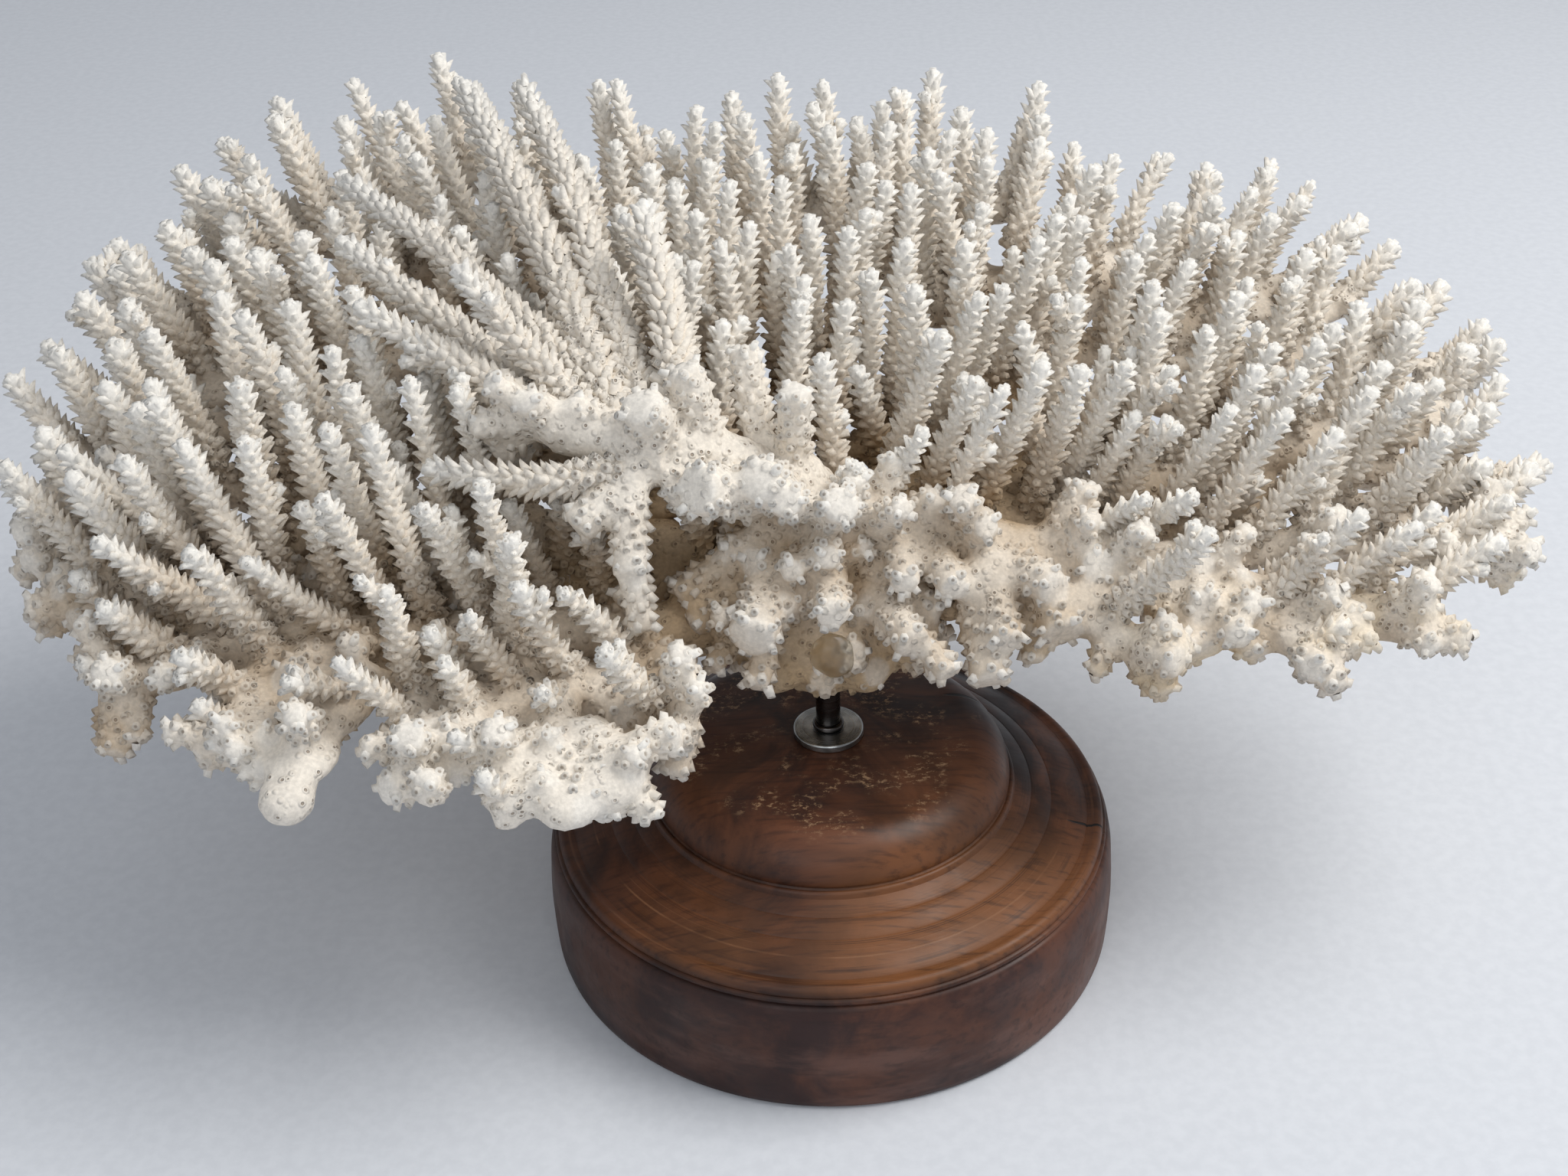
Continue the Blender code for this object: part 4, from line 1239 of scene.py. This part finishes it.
def wood_material():
    """Dark stained wood: blotches, fibres along X, broken turning lines, worn flecks, a crack and a nick,
    with lighter patches and a painted highlight on the front of the top, and painted shade on the left side.
    """
    nodes = Nodes("walnut")
    place = nodes.place()
    x, y, z = nodes.parts(place)
    radius = nodes.radius(x, y)
    blotch = nodes.noise(place, 26.0, detail=6.0, roughness=0.62, distortion=0.9)
    broad = nodes.noise(place, 11.0, detail=2.0)
    fibre = nodes.noise(nodes.stretched(place, (60.0, 700.0, 420.0)), 1.0, detail=4.0)
    top = nodes.ramp(z, 0.036, 0.040)
    # Lighter patches on the front of the top, partly a painted highlight
    front_patches_and_highlight = nodes.times(nodes.ramp(y, 0.015, -0.055), top, nodes.ramp(broad, 0.34, 0.6))
    wall = nodes.ramp(z, 0.037, 0.033)
    smears = nodes.ramp(nodes.noise(nodes.stretched(place, (22.0, 22.0, 90.0)), 1.0, detail=6.0), 0.46, 0.66)
    lines = nodes.turned_lines(radius, nodes.times(z, 0.7), 620.0, detail=3.0, roughness=0.7)
    broken = nodes.ramp(nodes.noise(place, 40.0, detail=3.0), 0.4, 0.6)
    on_rim = nodes.times(nodes.ramp(z, 0.051, 0.047), top, broken)
    flecks = nodes.noise(nodes.stretched(place, (380.0, 560.0, 380.0)), 1.0, detail=5.0, roughness=0.8)
    on_cushion = nodes.times(nodes.ramp(radius, 0.008, 0.022), nodes.ramp(radius, 0.046, 0.036),
                             nodes.ramp(z, 0.050, 0.058))
    worn = nodes.times(on_cushion, nodes.ramp(nodes.noise(place, 75.0, detail=2.0), 0.44, 0.56),
                       nodes.ramp(flecks, 0.52, 0.62))
    crack = nodes.times(nodes.streak(x, y, (0.0720, -0.0147), (0.0062, 0.0005)), top)
    nick = nodes.times(nodes.streak(x, y, (0.0385, 0.0170), (0.0050, 0.0007)), nodes.ramp(z, 0.050, 0.054))
    damage = nodes.math("ADD", crack, nick, clamp=True)
    colour = nodes.mix(nodes.ramp(blotch, 0.36, 0.64), (0.016, 0.006, 0.005), (0.115, 0.040, 0.018))
    layers = (
        (nodes.times(front_patches_and_highlight, 0.62), (0.215, 0.083, 0.026)),
        (nodes.times(wall, 0.35), (0.052, 0.018, 0.015)),
        (nodes.times(wall, smears, 0.5), (0.16, 0.080, 0.060)),
        (nodes.ramp(fibre, 0.48, 0.7, 0.0, 0.45), (0.014, 0.006, 0.005)),
        # Painted shade on the left side, away from the key light
        (nodes.ramp(x, -0.075, 0.0, 0.5, 0.0), (0.012, 0.005, 0.004)),
        (nodes.times(nodes.ramp(lines, 0.53, 0.68, 0.0, 0.4), on_rim), (0.26, 0.125, 0.06)),
        (nodes.times(nodes.ramp(lines, 0.45, 0.34, 0.0, 0.6), on_rim), (0.014, 0.006, 0.005)),
        (nodes.times(worn, 0.7), (0.40, 0.25, 0.14)),
        (damage, (0.006, 0.003, 0.002)),
    )
    for share, layer in layers:
        colour = nodes.mix(share, colour, layer)
    gloss = nodes.ramp(nodes.noise(place, 55.0, detail=4.0), 0.3, 0.7, 0.40, 0.62)
    relief = nodes.bump(nodes.times(lines, on_rim), 0.4, 0.3)
    relief = nodes.bump(fibre, 0.25, 0.15, before=relief)
    relief = nodes.bump(nodes.math("SUBTRACT", 1.0, damage), 0.8, 0.6, before=relief)
    nodes.shade(Base_Color=colour, Roughness=gloss, Normal=relief, Specular_IOR_Level=0.3, Coat_Weight=0.06,
                Coat_Roughness=0.25)
    return nodes.material


def dress_base():
    base = turned_piece("turned_base", base_profile(), 160)
    base.data.materials.append(wood_material())
    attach(base, "root")
    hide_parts("wooden_base")


def steel_material(name, colour, roughness, grooves):
    """Turned steel with fine concentric grooves and a little soiling."""
    nodes = Nodes(name)
    place = nodes.place()
    x, y, z = nodes.parts(place)
    lines = nodes.turned_lines(nodes.radius(x, y), z, grooves, detail=2.0)
    soil = nodes.noise(place, 160.0, detail=4.0)
    dark = tuple(0.45 * part for part in colour)
    nodes.shade(Base_Color=nodes.mix(nodes.ramp(soil, 0.35, 0.65), dark, colour), Metallic=1.0,
                Roughness=nodes.ramp(lines, 0.3, 0.7, roughness * 0.8, roughness * 1.3),
                Normal=nodes.bump(lines, 0.3, 0.06))
    return nodes.material


def dress_metal():
    """The disc with its turned edge and the dark rod with the bead of weld at its foot."""
    bottom = DOME_TOP + FIT_GAP
    top = bottom + WASHER_THICKNESS
    inner = ROD_RADIUS + FIT_GAP
    profile = [(inner, bottom), (inner, top)]
    profile += arc(WASHER_RADIUS - 0.7, top - 0.7, 0.7, 90, 0, 6) + [(WASHER_RADIUS, bottom)]
    disc = turned_piece("turned_disc", profile, 96, closed=True)
    disc.data.materials.append(steel_material("brushed_disc", (0.60, 0.61, 0.60), 0.3, 4200.0))
    foot = DOME_TOP - BORE_DEPTH + FIT_GAP
    profile = [(0, ROD_TOP), (ROD_RADIUS, ROD_TOP), (ROD_RADIUS, top + 2.0)]
    profile += arc(ROD_RADIUS, top + 1.05, COLLAR_RADIUS - ROD_RADIUS, 80, -60, 7)
    profile += [(ROD_RADIUS, top + FIT_GAP), (ROD_RADIUS, foot), (0, foot)]
    rod = turned_piece("dark_rod", profile, 48)
    rod.data.materials.append(steel_material("dark_rod", (0.11, 0.10, 0.095), 0.24, 900.0))
    for piece, node, slot in ((disc, "steel_disc", "brushed_disc"), (rod, "steel_rod", "dark_rod")):
        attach(piece, "root")
        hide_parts(node)


def resin_material():
    """Yellowed clear resin with a cloudy skin."""
    nodes = Nodes("clear_resin")
    cloud = nodes.noise(nodes.place(), 300.0, detail=3.0)
    nodes.shade(Base_Color=(0.97, 0.95, 0.89, 1.0), Transmission_Weight=1.0, IOR=1.5, Roughness=0.34,
                Normal=nodes.bump(cloud, 0.3, 0.4))
    absorb = nodes.add("ShaderNodeVolumeAbsorption")
    absorb.inputs["Color"].default_value = (0.93, 0.72, 0.34, 1.0)
    absorb.inputs["Density"].default_value = 32.0
    nodes.link(absorb.outputs["Volume"], nodes.tree.nodes["Material Output"].inputs["Volume"])
    return nodes.material


def dress_resin(texture):
    """The blob of yellowed resin over the rod, a little uneven."""
    blob = bmesh.new()
    bmesh.ops.create_icosphere(blob, subdivisions=4, radius=MM)
    bmesh.ops.scale(blob, vec=[radius * RESIN_SHARE for radius in RESIN_RADII], verts=blob.verts)
    bmesh.ops.translate(blob, vec=Vector(RESIN_CENTRE) * MM, verts=blob.verts)
    data = bpy.data.meshes.new("resin")
    blob.to_mesh(data)
    blob.free()
    item = linked("resin_lump", data)
    add_lumps(item, texture, RESIN_LUMPS)
    piece = linked("resin_blob", evaluated(item))
    piece.data.shade_smooth()
    piece.data.materials.append(resin_material())
    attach(piece, "root")
    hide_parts("resin_plug")


def make_floor():
    mesh = bpy.data.meshes.new("floor")
    corners = [(-FLOOR_REACH, -FLOOR_REACH, 0), (FLOOR_REACH, -FLOOR_REACH, 0), (FLOOR_REACH, FLOOR_REACH, 0),
               (-FLOOR_REACH, FLOOR_REACH, 0)]
    mesh.from_pydata(corners, [], [(0, 1, 2, 3)])
    floor = linked("floor", mesh)
    nodes = Nodes("floor")
    grain = nodes.noise(nodes.place(), 260.0, detail=5.0)
    colour = nodes.mix(nodes.ramp(grain, 0.3, 0.7), (0.62, 0.64, 0.68), (0.66, 0.68, 0.72))
    nodes.shade(Base_Color=colour, Roughness=0.9, Normal=nodes.bump(grain, 0.15, 0.4))
    mesh.materials.append(nodes.material)


def area_light(name, place, target, size, power, colour):
    data = bpy.data.lights.new(name, "AREA")
    data.shape = "SQUARE"
    data.size = size
    data.energy = power
    data.color = colour
    lamp = linked(name, data)
    lamp.location = place
    aim = Vector(target) - Vector(place)
    lamp.rotation_mode = "QUATERNION"
    lamp.rotation_quaternion = aim.to_track_quat("-Z", "Y")


def make_lights():
    area_light("key_light", (0.75, 0.0, 1.2), LIT_PLACE, 0.9, 15.5, (1.0, 0.985, 0.955))
    area_light("fill_light", (-0.25, -1.2, 0.95), LIT_PLACE, 1.2, 4.5, (0.94, 0.97, 1.0))
    world = bpy.data.worlds.new("world")
    bpy.context.scene.world = world
    world.use_nodes = True
    background = world.node_tree.nodes["Background"]
    background.inputs["Color"].default_value = (0.86, 0.90, 0.96, 1.0)
    background.inputs["Strength"].default_value = 0.48


make_camera()
skeleton = grow_coral()
add_more_branchlets(skeleton)
add_knobs(skeleton)
dress_coral(skeleton)
dress_base()
dress_metal()
dress_resin(lumps_texture())
make_floor()
make_lights()
bpy.context.scene.view_settings.view_transform = "Standard"
